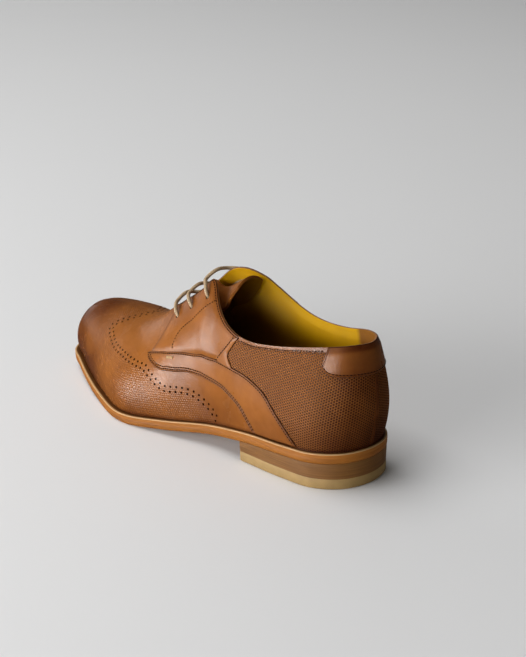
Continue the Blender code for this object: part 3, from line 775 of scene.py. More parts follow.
def round_edges(piece):
    """Round the sharp edges of a piece."""
    bevel = piece.modifiers.new("round edges", "BEVEL")
    bevel.width = EDGE_ROUND
    bevel.segments = 3
    bevel.limit_method = "ANGLE"
    bevel.angle_limit = np.radians(EDGE_ANGLE)
    bevel.use_clamp_overlap = True


def wear(piece, slot, *nodes):
    """Put a finished piece on the shoe in place of its solids."""
    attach(piece, "root")
    if nodes:
        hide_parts(*nodes)


def patina_and_shade(share, climb):
    """Burnish of the leather with painted shadow, from 0 to 1: darker at toe, heel, eyelets and collar,
    darker towards the welt, and painted shadow where the upper meets the welt.
    """
    toe = 0.6 * ease(68.0, 90.0, share)
    heel = 0.62 * (1 - ease(0.0, 17.0, share))
    # Darker towards the welt; the last 3.5 percent of climb is painted shadow in the gap between upper and
    # welt
    low = 0.38 * (1 - ease(0.0, 40.0, climb)) + 0.45 * (1 - ease(0.0, 3.5, climb))
    eyelets = 0.42 * ease(66.0, 94.0, climb) * ease(34.0, 40.0, share) * (1 - ease(50.0, 56.0, share))
    collar = 0.45 * ease(93.0, 97.0, climb) * (1 - ease(30.0, 36.0, share))
    return np.clip(np.maximum(toe, heel) + low + eyelets + collar, 0.0, 1.0)


# Span of a noise value that is stretched over the whole range
NOISE_SPAN = (0.3, 0.7)


class Recipe:
    """Node tree of one material, put together step by step."""

    def __init__(self, name):
        self.material = bpy.data.materials.new(name)
        self.material.use_nodes = True
        self.nodes = self.material.node_tree.nodes
        self.links = self.material.node_tree.links
        self.shader = self.nodes["Principled BSDF"]

    def feed(self, socket, value):
        """Give a socket a number, a colour or the output of another node."""
        if isinstance(value, bpy.types.NodeSocket):
            self.links.new(value, socket)
        else:
            socket.default_value = value

    def place(self, scale=(1.0, 1.0, 1.0)):
        """Object coordinates, stretched by a scale."""
        mapping = self.nodes.new("ShaderNodeMapping")
        self.links.new(self.nodes.new("ShaderNodeTexCoord").outputs["Object"], mapping.inputs["Vector"])
        mapping.inputs["Scale"].default_value = scale
        return mapping.outputs["Vector"]

    def attribute(self, name, output="Fac"):
        """Value that the piece carries at its points."""
        node = self.nodes.new("ShaderNodeAttribute")
        node.attribute_name = name
        return node.outputs[output]

    def noise(self, scale, detail=3.0, stretch=(1.0, 1.0, 1.0)):
        """Soft random value from 0 to 1."""
        node = self.nodes.new("ShaderNodeTexNoise")
        self.links.new(self.place(stretch), node.inputs["Vector"])
        node.inputs["Scale"].default_value = scale
        node.inputs["Detail"].default_value = detail
        return node.outputs["Fac"]

    def cells(self, scale):
        """Distance to the middle of small random cells, as in leather grain."""
        node = self.nodes.new("ShaderNodeTexVoronoi")
        self.links.new(self.place(), node.inputs["Vector"])
        node.inputs["Scale"].default_value = scale
        return node.outputs["Distance"]

    def math(self, operation, first, second=0.0):
        """Sum, product or other step of two values."""
        node = self.nodes.new("ShaderNodeMath")
        node.operation = operation
        self.feed(node.inputs[0], first)
        self.feed(node.inputs[1], second)
        return node.outputs["Value"]

    def span(self, value, low, high, to_low=0.0, to_high=1.0):
        """Bring a value from one span into another, held at its ends."""
        node = self.nodes.new("ShaderNodeMapRange")
        for socket, setting in zip(node.inputs, (value, low, high, to_low, to_high)):
            self.feed(socket, setting)
        return node.outputs["Result"]

    def blend(self, share, first, second, mode="MIX"):
        """Mix of two colours."""
        node = self.nodes.new("ShaderNodeMix")
        node.data_type = "RGBA"
        node.blend_type = mode
        self.feed(node.inputs[0], share)
        self.feed(node.inputs[6], first)
        self.feed(node.inputs[7], second)
        return node.outputs[2]

    def bump(self, height, depth, normal=None):
        """Relief of a depth in metres over an earlier relief."""
        node = self.nodes.new("ShaderNodeBump")
        node.inputs["Distance"].default_value = depth
        self.feed(node.inputs["Height"], height)
        if normal is not None:
            self.feed(node.inputs["Normal"], normal)
        return node.outputs["Normal"]

    def wander(self, scale, detail, low, high):
        """Soft random value that wanders between two ends."""
        return self.span(self.noise(scale, detail), *NOISE_SPAN, low, high)

    def streaked(self, value, colour, amount, strength):
        """Colour that a random value draws, by an amount, towards a weaker strength of itself."""
        share = self.span(value, *NOISE_SPAN, 0.0, amount)
        return self.blend(share, paint(colour), paint(colour, strength))

    def finish(self, colour, roughness, normal=None, specular=None):
        """Feed the shader and give the finished material."""
        self.feed(self.shader.inputs["Base Color"], colour)
        self.feed(self.shader.inputs["Roughness"], roughness)
        if normal is not None:
            self.feed(self.shader.inputs["Normal"], normal)
        if specular is not None:
            self.shader.inputs["Specular IOR Level"].default_value = specular
        return self.material


def paint(colour, strength=1.0):
    """Colour with its alpha."""
    return (colour[0] * strength, colour[1] * strength, colour[2] * strength, 1.0)


def made_once(name, recipe):
    """Material of that name, made by its recipe if it isn't there yet."""
    return bpy.data.materials.get(name) or recipe(Recipe(name))


def burnished(mix, colours, spread=0.5):
    """Tan leather that darkens with its burnishing and painted shade at each point, in uneven clouds."""
    clouds = mix.math("MULTIPLY", mix.wander(28.0, 4.0, -0.5, 0.5), spread)
    amount = mix.span(mix.math("ADD", mix.attribute("burnish_and_shade"), clouds), 0.0, 1.0)
    colour = mix.blend(amount, paint(colours.tan), paint(colours.burnish_and_shade))
    mottled = mix.blend(1.0, colour, paint(colours.mottle), "MULTIPLY")
    return mix.blend(mix.wander(160.0, 5.0, 0.0, 0.3), colour, mottled)


def hexagons(mix, pitch):
    """Relief of a hexagonal lattice over the flat measure of a piece."""
    flat = mix.attribute("lattice", "Vector")
    total = 0.0
    turn = 2 * np.pi / (pitch * np.sqrt(0.75))
    for angle in np.radians((30.0, 90.0, 150.0)):
        node = mix.nodes.new("ShaderNodeVectorMath")
        node.operation = "DOT_PRODUCT"
        mix.links.new(flat, node.inputs[0])
        node.inputs[1].default_value = (np.cos(angle) * turn, np.sin(angle) * turn, 0.0)
        total = mix.math("ADD", mix.math("COSINE", node.outputs["Value"]), total)
    return total


def vamp_leather(sizes, colours):
    """Burnished calf of the vamp, with a faint emboss on the wings."""
    def recipe(mix):
        colour = burnished(mix, colours)
        emboss = mix.math("MULTIPLY", hexagons(mix, sizes.emboss_pitch), mix.attribute("wing"))
        colour = mix.blend(mix.span(emboss, -1.2, 0.4, 0.3, 0.0), colour, paint(colours.burnish_and_shade))
        normal = mix.bump(emboss, 0.00003)
        normal = mix.bump(mix.cells(1500.0), 0.00004, normal)
        normal = mix.bump(mix.noise(240.0, 4.0), 0.00014, normal)
        return mix.finish(colour, mix.wander(60.0, 3.0, 0.22, 0.32), normal, specular=0.055)
    return made_once("vamp_calf", recipe)


def seam_channel(mix, distance, at, half_width=0.5):
    """Value that rises to 1 along a line at one distance from the border (mm)."""
    off = mix.math("ABSOLUTE", mix.math("SUBTRACT", distance, at))
    return mix.span(off, 0.0, half_width, 1.0, 0.0)


def smooth_leather(colours):
    """Burnished calf of facings, bands and heel tab, with painted shade along its seams and in its stitch
    channels, and rounded borders darkened partly as burnished edges and partly as painted shadow.
    """
    def recipe(mix):
        border, seam = mix.attribute("border"), mix.attribute("seam")
        colour = burnished(mix, colours)
        # Painted shade within 5 mm of the seamed borders, the facing's front edge among them
        colour = mix.blend(mix.span(seam, 0.0, 5.0, 0.4, 0.0), colour, paint(colours.burnish_and_shade))
        single = seam_channel(mix, seam, SEAM_INSET)
        double = mix.math("MULTIPLY", seam_channel(mix, seam, SECOND_INSET), mix.attribute("double"))
        channels = mix.math("MAXIMUM", single, double)
        # Painted shade in the stitch channels, which the bump below also sinks
        colour = mix.blend(mix.math("MULTIPLY", channels, 0.65), colour, paint(colours.burnish_and_shade, 0.6))
        # Darker rounded borders: burnished edge and painted contact shadow
        colour = mix.blend(mix.span(border, 0.3, 0.65, 0.9, 0.0), colour, paint(colours.burnish_and_shade, 0.4))
        normal = mix.bump(channels, -0.0002)
        normal = mix.bump(mix.cells(1700.0), 0.00004, normal)
        normal = mix.bump(mix.noise(200.0, 4.0), 0.00014, normal)
        return mix.finish(colour, mix.wander(70.0, 3.0, 0.26, 0.38), normal, specular=0.06)
    return made_once("smooth_calf", recipe)


def embossed_leather(colours):
    """Embossed calf of the quarters, dark in its pits."""
    def recipe(mix):
        pits = mix.span(mix.attribute("pit"), 0.1, 0.65, 0.0, 0.95)
        colour = mix.blend(pits, burnished(mix, colours, 0.35), paint(colours.burnish_and_shade, 0.3))
        normal = mix.bump(mix.noise(900.0, 3.0), 0.00005)
        return mix.finish(colour, mix.wander(80.0, 3.0, 0.36, 0.5), normal, specular=0.03)
    return made_once("embossed_calf", recipe)


def lining_leather(colours):
    """Yellow lining, darkened deep inside by painted shade, with a suede grip at the heel."""
    def recipe(mix):
        colour = mix.streaked(mix.noise(45.0, 4.0), colours.lining, 0.3, 0.7)
        colour = mix.blend(mix.attribute("grip"), colour, paint(colours.grip))
        # Painted shade deep inside the shoe, blended in by the deep attribute
        painted_deep_shade = mix.blend(1.0, colour, paint(colours.deep_shade), "MULTIPLY")
        colour = mix.blend(mix.attribute("deep"), colour, painted_deep_shade)
        normal = mix.bump(mix.cells(1400.0), 0.00008)
        return mix.finish(colour, mix.wander(120.0, 3.0, 0.5, 0.65), normal, specular=0.06)
    return made_once("lining_calf", recipe)


def cut_edge(colours):
    """Raw cut edge of the leather, with fibres along it."""
    def recipe(mix):
        fibres = mix.noise(700.0, 3.0, (1.0, 1.0, 3.0))
        colour = mix.streaked(fibres, colours.edge, 0.5, 0.6)
        return mix.finish(colour, 0.6, mix.bump(fibres, 0.0001), specular=0.1)
    return made_once("cut_edge", recipe)


def sole_edge(colours):
    """Waxed edge of the leather sole with fine lines along it, and a bare fibrous tread."""
    def recipe(mix):
        lines = mix.noise(60.0, 4.0, (1.0, 1.0, 30.0))
        colour = mix.streaked(lines, colours.sole, 0.6, 0.55)
        stains = mix.span(mix.noise(40.0, 3.0), 0.4, 0.7, 0.0, 0.3)
        colour = mix.blend(stains, colour, paint(colours.burnish_and_shade))
        normal = mix.bump(lines, 0.00025)
        return mix.finish(colour, mix.wander(90.0, 3.0, 0.35, 0.5), normal, specular=0.05)
    return made_once("waxed_sole", recipe)


def welt_leather(colours):
    """Waxed welt, paler along its top edge, with painted shadow on its ledge next to the upper."""
    def recipe(mix):
        colour = mix.streaked(mix.noise(60.0, 4.0, (1.0, 1.0, 30.0)), colours.sole, 0.6, 0.6)
        colour = mix.blend(mix.attribute("rim"), colour, paint(colours.welt))
        # Painted shadow on the welt's ledge, in the gap next to the upper
        colour = mix.blend(mix.attribute("ledge_shade"), colour, paint(colours.burnish_and_shade, 0.3))
        normal = mix.bump(mix.noise(500.0, 4.0), 0.00015)
        return mix.finish(colour, mix.wander(90.0, 3.0, 0.42, 0.55), normal, specular=0.06)
    return made_once("natural_welt", recipe)


def stacked_leather(colours):
    """Waxed heel of stacked leather, with streaks along its layers."""
    def recipe(mix):
        streaks = mix.noise(34.0, 6.0, (1.0, 1.0, 60.0))
        colour = mix.streaked(streaks, colours.stack, 0.7, 0.4)
        clouds = mix.span(mix.noise(30.0, 3.0), 0.35, 0.7, 0.0, 0.4)
        colour = mix.blend(clouds, colour, paint(colours.stack, 0.4))
        normal = mix.bump(streaks, 0.00015)
        return mix.finish(colour, mix.wander(90.0, 3.0, 0.4, 0.55), normal, specular=0.1)
    return made_once("waxed_heel_stack", recipe)


def heel_rubber(colours):
    """Beige rubber of the top lift, dusty and finely pitted."""
    def recipe(mix):
        dust = mix.span(mix.noise(120.0, 5.0), 0.35, 0.7, 0.0, 0.5)
        colour = mix.blend(dust, paint(colours.rubber), paint(colours.rubber, 0.65))
        normal = mix.bump(mix.noise(1200.0, 3.0), 0.0001)
        return mix.finish(colour, mix.span(dust, 0.0, 0.5, 0.55, 0.7), normal, specular=0.15)
    return made_once("heel_rubber", recipe)


def waxed_cotton(colours):
    """Waxed round lace, shaded by its braid."""
    def recipe(mix):
        colour = mix.blend(mix.attribute("braid"), paint(colours.lace, 0.45), paint(colours.lace))
        normal = mix.bump(mix.noise(2600.0, 2.0), 0.00008)
        return mix.finish(colour, 0.62, normal, specular=0.12)
    return made_once("waxed_cotton", recipe)


def thread(name, colour):
    """Sewing thread with a fine twist."""
    def recipe(mix):
        twist = mix.noise(2500.0, 2.0)
        tone = mix.blend(mix.span(twist, *NOISE_SPAN), paint(colour, 0.7), paint(colour))
        return mix.finish(tone, 0.8, mix.bump(twist, 0.00005), specular=0.02)
    return made_once(name, recipe)


def punched_hole(colours):
    """Shaded inside of a punched pinhole."""
    def recipe(mix):
        tone = mix.blend(mix.noise(900.0, 2.0), paint(colours.burnish_and_shade, 0.05), paint(colours.burnish_and_shade, 0.2))
        return mix.finish(tone, 0.95, specular=0.0)
    return made_once("punched_hole", recipe)


def pale_floor(colours):
    """Plain pale floor with a slight unevenness."""
    def recipe(mix):
        colour = mix.streaked(mix.noise(3.0, 2.0), colours.floor, 0.04, 0.9)
        return mix.finish(colour, 0.75, mix.bump(mix.noise(300.0, 2.0), 0.00005))
    return made_once("pale_floor", recipe)


def size(label, default, description):
    """Length property in metres."""
    return FloatProperty(name=label, description=description, default=default, unit="LENGTH", precision=5)


def shade(label, default, description):
    """Colour property."""
    return FloatVectorProperty(name=label, description=description, default=default, subtype="COLOR",
                               size=3, min=0.0, max=1.0)


class ShoeSizes(bpy.types.PropertyGroup):
    """Sizes of the shoe that its dressing follows."""

    sole_length: size("Sole length", 0.305, "Outsole from heel back to toe tip")
    ball_width: size("Ball width", 0.1038, "Outsole across the ball of the foot")
    collar_height: size("Collar height", 0.094, "Collar above the floor at the heel's back")
    heel_length: size("Heel length", 0.0825, "Heel from its back to its breast")
    top_lift: size("Top lift", 0.007, "Thickness of the rubber under the heel")
    outsole: size("Outsole", 0.004, "Thickness of the outsole")
    welt: size("Welt", 0.0026, "Thickness of the welt")
    insole: size("Insole", 0.0034, "Thickness of the insole")
    wall: size("Upper", 0.002, "Thickness of the upper with its lining")
    tongue: size("Tongue", 0.0016, "Thickness of the tongue")
    gap: size("Gap", 0.0003, "Gap between the sole's layers")
    crown_round: size("Crown round", 0.009, "Reach of the rounding over the crown of the vamp")
    overlay: size("Overlay", 0.0013, "Face of facings, bands and heel tab above the upper")
    overlay_round: size("Overlay edge", 0.0006, "Rounding of the overlays' edges")
    emboss: size("Emboss height", 0.0005, "Face of the embossed leather above the upper")
    emboss_pitch: size("Emboss pitch", 0.00182, "Distance between the embossed pits")
    emboss_depth: size("Emboss depth", 0.00038, "Depth of the embossed pits")
    eyelet: size("Eyelet", 0.0031, "Diameter of the punched eyelets")
    lace: size("Lace", 0.0027, "Diameter of the lace")
    stitch_pitch: size("Stitch pitch", 0.0021, "Distance between stitches")
    stitch_length: size("Stitch length", 0.0015, "Length of a stitch")
    thread: size("Thread", 0.0007, "Thickness of the thread")
    pinhole: size("Pinhole", 0.0018, "Diameter of a pinhole")
    pinhole_pitch: size("Pinhole pitch", 0.0048, "Distance between the pinholes of a row")
    pinhole_rows: size("Pinhole rows", 0.0034, "Distance between the two rows of pinholes")


class ShoeColours(bpy.types.PropertyGroup):
    """Colours of the shoe and its stage."""

    tan: shade("Tan", (0.285, 0.098, 0.019), "Leather where it is least burnished")
    # Darkest leather: fully burnished, and also the colour of painted shade in seams, channels, borders, the
    # welt's ledge and the pinholes
    burnish_and_shade: shade("Burnish", (0.066, 0.0145, 0.0035), "Leather where it is fully burnished")
    mottle: shade("Mottle", (0.72, 0.62, 0.52), "Tint of the darker mottling")
    edge: shade("Edge", (0.27, 0.125, 0.05), "Cut edges of the leather")
    lining: shade("Lining", (0.62, 0.335, 0.002), "Lining of upper, tongue and insole")
    # Tint of the painted shade on the lining deep inside
    deep_shade: shade("Soil", (0.27, 0.22, 0.15), "Tint of the lining deep inside")
    grip: shade("Heel grip", (0.24, 0.092, 0.01), "Grip inside the heel")
    lace: shade("Lace", (0.56, 0.40, 0.24), "Waxed cotton of the lace")
    thread: shade("Thread", (0.022, 0.008, 0.004), "Thread of the seams")
    tack: shade("Bar tack", (0.60, 0.38, 0.20), "Thread of the bar tacks")
    welt: shade("Welt", (0.52, 0.32, 0.15), "Top edge of the welt")
    sole: shade("Sole", (0.36, 0.13, 0.022), "Edges of outsole and welt")
    stack: shade("Heel stack", (0.25, 0.108, 0.027), "Stacked leather of the heel")
    rubber: shade("Top lift", (0.37, 0.235, 0.085), "Rubber of the top lift")
    floor: shade("Floor", (0.80, 0.80, 0.80), "Plain floor")


def dressing():
    """The last in the scene's sizes, and the scene's colours."""
    scene = bpy.context.scene
    return Last(scene.shoe_sizes), scene.shoe_colours


def band_edges(way):
    """Upper and lower edge of the band, each as share and climb."""
    return smooth(BAND, way).T


def ruled(low, high, ways):
    """Grid of values between two edges, at ways across it."""
    return low[:, None] * (1 - ways) + high[:, None] * ways


def overlay(last, name, grids, rounded, seamed, finish, at_collar=True):
    """Sheet of leather that lies on the upper with rounded borders.

    Grids hold side, shares and climbs, from heel to toe and from low to high. The rounded and the seamed
    borders are named low, high, rear and front. A sheet at the collar is thinned towards it, and where its
    low border isn't rounded, that runs under the band. Any other sheet has a double seam along its low
    border.
    """
    parts = {key: [] for key in ("points", "burnish_and_shade", "border", "seam", "double")}
    for side, shares, climbs in grids:
        flat = last.even_wall(side, shares, climbs)
        up = running_length(flat)
        along = running_length(flat.swapaxes(0, 1)).T
        reach = {"low": up, "high": up[:, -1:] - up, "rear": along, "front": along[-1:] - along}
        to_border = np.min([reach[border] for border in rounded], axis=0)
        to_seam = np.min([reach[border] for border in seamed], axis=0)
        face = np.full(shares.shape, last.sizes.overlay)
        if at_collar:
            face *= COLLAR_THIN + (1 - COLLAR_THIN) * ease(*COLLAR_THIN_REACH, reach["high"])
            if "low" not in rounded:
                face *= TUCK_THIN + (1 - TUCK_THIN) * ease(*TUCK_THIN_REACH, reach["low"])
        way = np.clip(to_border / last.sizes.overlay_round, 0.0, 1.0)
        height = (face + OVERLAY_SUNK) * np.sqrt(1 - (1 - way)**2) - OVERLAY_SUNK
        found = {
            "points": last.raised(side, shares, climbs, height),
            "burnish_and_shade": patina_and_shade(shares, climbs),
            "border": np.minimum(to_border / MM, FAR),
            "seam": np.minimum(to_seam / MM, FAR),
            "double": (reach["low"] < reach["high"]) * (0.0 if at_collar else 1.0),
        }
        order = 1 if side == "lateral" else -1
        for key, value in found.items():
            parts[key].insert(0, value[::order])
    values = {key: np.concatenate(part) for key, part in parts.items()}
    grid = values.pop("points")
    piece = new_piece(last, name, grid, grid_faces(*grid.shape[:2]), (finish,), values)
    thicken(piece, OVERLAY_SHEET)
    return piece


def facing_grid(columns=46, rows=30):
    """Shares and climbs over a facing, from its rear edge to its front."""
    way = bordered(columns)[::-1]
    low_share, low_climb, _, _ = band_edges(way * BAND_TIP)
    top_share = smooth(FACING_TOP, way)[:, 0] + FACING_SHIFT * way
    across = bordered(rows)
    shares = ruled(low_share, top_share, across)
    shares -= FRONT_HOLLOW * np.outer((1 - way)**3, 4 * across * (1 - across))
    return shares, ruled(low_climb - FACING_TUCK, np.full(len(way), 100.0), across)


def band_grid(columns=90, rows=22):
    """Shares and climbs over a band, from the sole to its front tab."""
    way = bordered(columns)[::-1]
    upper_share, upper_climb, lower_share, lower_climb = band_edges(way)
    across = bordered(rows)
    return ruled(lower_share, upper_share, across), ruled(lower_climb, upper_climb, across)


def arm_grid(rows=24):
    """Shares and climbs over the band's thin arm behind the facing, up to the collar."""
    shares, climbs = facing_grid()
    rear_share, rear_climb = shares[0], climbs[0]
    climb = np.linspace(rear_climb[0] - 4.0, 100.0, rows)
    rear = np.interp(climb, rear_climb, rear_share)
    foot, top = ARM_WIDTHS
    width = foot + (top - foot) * ease(*ARM_CLIMBS, climb)
    width += ARM_FLARE * (1 - ease(*ARM_FLARE_CLIMBS, climb))
    ways = bordered(4)[:, None]
    return (rear - width) * (1 - ways) + (rear + ARM_TUCK) * ways, np.broadcast_to(climb, (len(ways), rows))


def eyelet_pins(last, reach=0.006, corners=28):
    """Pins through the facings and the wall, where the eyelets are punched."""
    points, faces = [], []
    turns = np.linspace(0, 2 * np.pi, corners, endpoint=False)
    for side in SIDES:
        for share, climb in EYELETS:
            at = (side, np.array([share]), np.array([climb]))
            centre = last.wall(*at)[0]
            axis = last.even_normal(*at, last.even_wall)[0]
            across = np.cross(axis, (0.0, 0.0, 1.0))
            across /= np.linalg.norm(across)
            circle = np.cos(turns)[:, None] * across + np.sin(turns)[:, None] * np.cross(across, axis)
            start = len(points)
            for way in (-reach, reach):
                points.extend(centre + axis * way + circle * last.sizes.eyelet / 2)
            ring = range(corners)
            faces += [(start + i, start + (i + 1) % corners, start + corners + (i + 1) % corners,
                       start + corners + i) for i in ring]
            faces.append(tuple(start + i for i in reversed(ring)))
            faces.append(tuple(start + corners + i for i in ring))
    return new_piece(last, "eyelet_pins", np.array(points), faces, (), closed=True)


def punch(piece, pins):
    """Punch the eyelets through a piece."""
    hole = piece.modifiers.new("eyelets", "BOOLEAN")
    hole.operation = "DIFFERENCE"
    hole.solver = "EXACT"
    hole.object = pins


class SHOE_OT_upper(bpy.types.Operator):
    """Vamp and quarters as one wall round the last, with their lining"""

    bl_idname = "shoe.upper"
    bl_label = "Upper and lining"

    COLUMNS = 170
    ROWS = 56

    def execute(self, context):
        last, colours = dressing()
        shares = ring_shares(self.COLUMNS, stops=(VAMP_POINT,))
        climbs = np.linspace(0, 100, self.ROWS)
        grid_share, grid_climb = np.meshgrid(shares, climbs, indexing="ij")
        wing_area = WING_LINE + ((WING_LINE[-1][0], 0.0), (100.0, 0.0), (100.0, 100.0))
        wing = inside(wing_area, grid_share, grid_climb) * (1 - ease(72.0, 84.0, grid_share))
        values = {
            "burnish_and_shade": patina_and_shade(grid_share, grid_climb),
            "wing": wing,
            "grip": 1 - ease(*HEEL_GRIP, grid_share),
            # Painted shade on the lining, strongest low inside the shoe
            "deep": 1 - ease(55.0, 97.0, grid_climb),
            "skived": 1 - 0.5 * ease(88.0, 99.0, grid_climb),
        }
        points, lattice = {}, {}
        for side in SIDES:
            points[side] = last.wall(side, grid_share, grid_climb)
            along, up = last.flatten(side, grid_share, grid_climb)
            lattice[side] = np.stack((along, up, np.zeros_like(up)), axis=-1)
        around = {key: np.concatenate((value[::-1], value[1:])) for key, value in values.items()}
        around["lattice"] = np.concatenate((lattice["medial"][::-1], lattice["lateral"][1:]))
        grid = np.concatenate((points["medial"][::-1], points["lateral"][1:]))
        finishes = (vamp_leather(last.sizes, colours), lining_leather(colours), cut_edge(colours))
        skin = new_piece(last, "upper_skin", grid, grid_faces(*grid.shape[:2]), finishes, around)
        thicken(skin, last.sizes.wall, inner=1, rim=2, skived="skived")
        round_edges(skin)
        pins = eyelet_pins(last)
        punch(skin, pins)
        settle(skin)
        bpy.data.objects.remove(pins)
        wear(skin, "upper_leather", "upper")
        return {"FINISHED"}


class SHOE_OT_quarters(bpy.types.Operator):
    """Embossed face of the quarters: a lattice of small pits, and the seam at the heel's back"""

    bl_idname = "shoe.quarters"
    bl_label = "Embossed quarters"

    def middles(self, last, side):
        """Middles of one quarter's pits over its flat measure, up to collar, band and heel tab."""
        pitch = last.sizes.emboss_pitch
        shares, along, _, ups = last.spreads[side]
        length = along[np.searchsorted(shares, EMBOSS_REACH)]
        columns = int(length / (pitch * np.sqrt(0.75))) + 4
        rows = int(ups.max() / pitch) + 6
        column, row = np.meshgrid(np.arange(-4, columns), np.arange(-6, rows), indexing="ij")
        across = (column * pitch * np.sqrt(0.75)).ravel()
        up = ((row + 0.5 * (column % 2)) * pitch).ravel()
        lean = np.sin(np.radians(EMBOSS_LEAN))
        middle = np.column_stack((across - up * lean, up + across * lean))
        middle = middle[(middle > -pitch / 3).all(axis=1) & (middle[:, 0] < length)]
        share, climb = last.unflatten(side, *np.clip(middle, 0, None).T)
        return middle[~self.covered(share, climb) & (climb < EMBOSS_TOP[side])]

    def pits(self, last, side, finish):
        """Honeycomb of pits over one quarter."""
        sizes = last.sizes
        middle = self.middles(last, side)
        count = len(middle)
        turns = np.radians(np.arange(0, 360, 60))
        spokes = np.column_stack((np.cos(turns), np.sin(turns))) * sizes.emboss_pitch / np.sqrt(3)
        corners = (middle[:, None] + spokes).reshape(-1, 2)
        rims = (middle[:, None] + spokes * EMBOSS_RIM).reshape(-1, 2)
        flat = np.clip(np.concatenate((corners, rims, middle)), 0.0, None)
        height = np.concatenate((np.zeros(6 * count), np.full(6 * count, -0.3), np.full(count, -1.0)))
        top = EMBOSS_TOP[side]
        share, climb = last.unflatten(side, *flat.T)
        climb = np.minimum(climb, top)
        face = sizes.emboss * (1 - 0.9 * ease(top - 2.0, top, climb))
        points = last.raised(side, share, climb, face + height * sizes.emboss_depth)
        corner = np.arange(6 * count).reshape(count, 6)
        rim = corner + 6 * count
        centre = np.repeat(12 * count + np.arange(count)[:, None], 6, axis=1)
        after = np.roll(np.arange(6), -1)
        quads = np.stack((corner, corner[:, after], rim[:, after], rim), axis=-1).reshape(-1, 4)
        tips = np.stack((rim, rim[:, after], centre), axis=-1).reshape(-1, 3)
        if side == "lateral":
            quads, tips = quads[:, ::-1], tips[:, ::-1]
        values = {"burnish_and_shade": patina_and_shade(share, climb), "pit": -height}
        faces = quads.tolist() + tips.tolist()
        return new_piece(last, "quarter_emboss_" + side, points, faces, (finish,), values)

    def covered(self, share, climb):
        """True under the facing, the band and what lies before them, and under the heel tab."""
        upper_share, upper_climb, _, _ = band_edges(np.linspace(0, 1, 60))
        front = np.column_stack((upper_share + 0.4, upper_climb - 1.5))
        front = front[upper_share <= 34.0]
        hidden = np.vstack((EMBOSS_FRONT, front[np.argsort(-front[:, 0])],
                            ((15.0, -5.0), (60.0, -5.0), (60.0, 100.0))))
        tab = np.array(HEEL_TAB + ((10.0, 110.0), (0.0, 110.0))) * (0.93, 1.0) + (-0.1, 2.5)
        return inside(hidden, share, climb) | inside(tab, share, climb)

    def back_seam(self, last, finish):
        """Two edges sewn together down the heel's back."""
        climbs = np.linspace(*BACK_SEAM_ENDS, 60)
        offsets, heights = np.array(BACK_SEAM).T * MM
        at = ("lateral", np.zeros(len(climbs)), climbs)
        away = last.even_normal(*at, last.even_wall)
        lifts = heights - offsets**2 / (2 * HEEL_RADIUS)
        points = last.wall(*at)[None] + away[None] * lifts[:, None, None]
        points = points + np.array((1.0, 0.0, 0.0)) * offsets[:, None, None]
        values = {"burnish_and_shade": np.full(points.shape[:2], 0.9),
                  "pit": np.repeat((offsets == 0)[:, None] * 1.0, len(climbs), 1)}
        return new_piece(last, "back_seam", points[::-1], grid_faces(*points.shape[:2]), (finish,), values)

    def execute(self, context):
        last, colours = dressing()
        finish = embossed_leather(colours)
        for side in SIDES:
            wear(self.pits(last, side, finish), "upper_leather")
        wear(self.back_seam(last, finish), "upper_leather")
        return {"FINISHED"}


class SHOE_OT_facings(bpy.types.Operator):
    """Smooth lace panels with three punched eyelets each"""

    bl_idname = "shoe.facings"
    bl_label = "Facings"

    def execute(self, context):
        last, colours = dressing()
        pins = eyelet_pins(last)
        for side in SIDES:
            shares, climbs = facing_grid()
            piece = overlay(last, "facing_" + side + "_panel", ((side, shares, climbs),),
                            ("high", "rear", "front"), ("high", "rear", "front"), smooth_leather(colours))
            punch(piece, pins)
            settle(piece)
            wear(piece, "smooth_leather", "facing_" + side)
        bpy.data.objects.remove(pins)
        return {"FINISHED"}


class SHOE_OT_bands(bpy.types.Operator):
    """Curved strips from the facings back and down to the sole, each with an arm up to the collar"""

    bl_idname = "shoe.bands"
    bl_label = "Side bands"

    def execute(self, context):
        last, colours = dressing()
        for side in SIDES:
            band = overlay(last, "band_" + side + "_strip", ((side, *band_grid()),),
                           ("low", "high", "front"), ("low", "high", "front"), smooth_leather(colours),
                           at_collar=False)
            settle(band)
            wear(band, "smooth_leather", "band_" + side)
            arm = overlay(last, "band_" + side + "_arm", ((side, *arm_grid()),),
                          ("rear", "high"), ("high",), smooth_leather(colours))
            settle(arm)
            wear(arm, "smooth_leather")
        return {"FINISHED"}


class SHOE_OT_heel_tab(bpy.types.Operator):
    """Smooth counter piece across the back of the collar"""

    bl_idname = "shoe.heel_tab"
    bl_label = "Heel tab"

    def execute(self, context):
        last, colours = dressing()
        ways = np.concatenate((np.linspace(0, 0.96, 40), 1 - np.array(BORDER_WAYS)[::-1]))
        shares = ways * HEEL_TAB[-1][0]
        lows = smooth(HEEL_TAB, shares)[:, 0]
        across = bordered(16)
        climbs = ruled(lows, np.full(len(lows), 100.0), across)
        grid = np.outer(shares, 1 - TAB_LEAN / 100 * across)
        piece = overlay(last, "heel_tab_piece", (("lateral", grid, climbs), ("medial", grid, climbs)),
                        ("low", "high", "front"), ("low", "front"), smooth_leather(colours))
        settle(piece)
        wear(piece, "smooth_leather", "heel_tab")
        return {"FINISHED"}


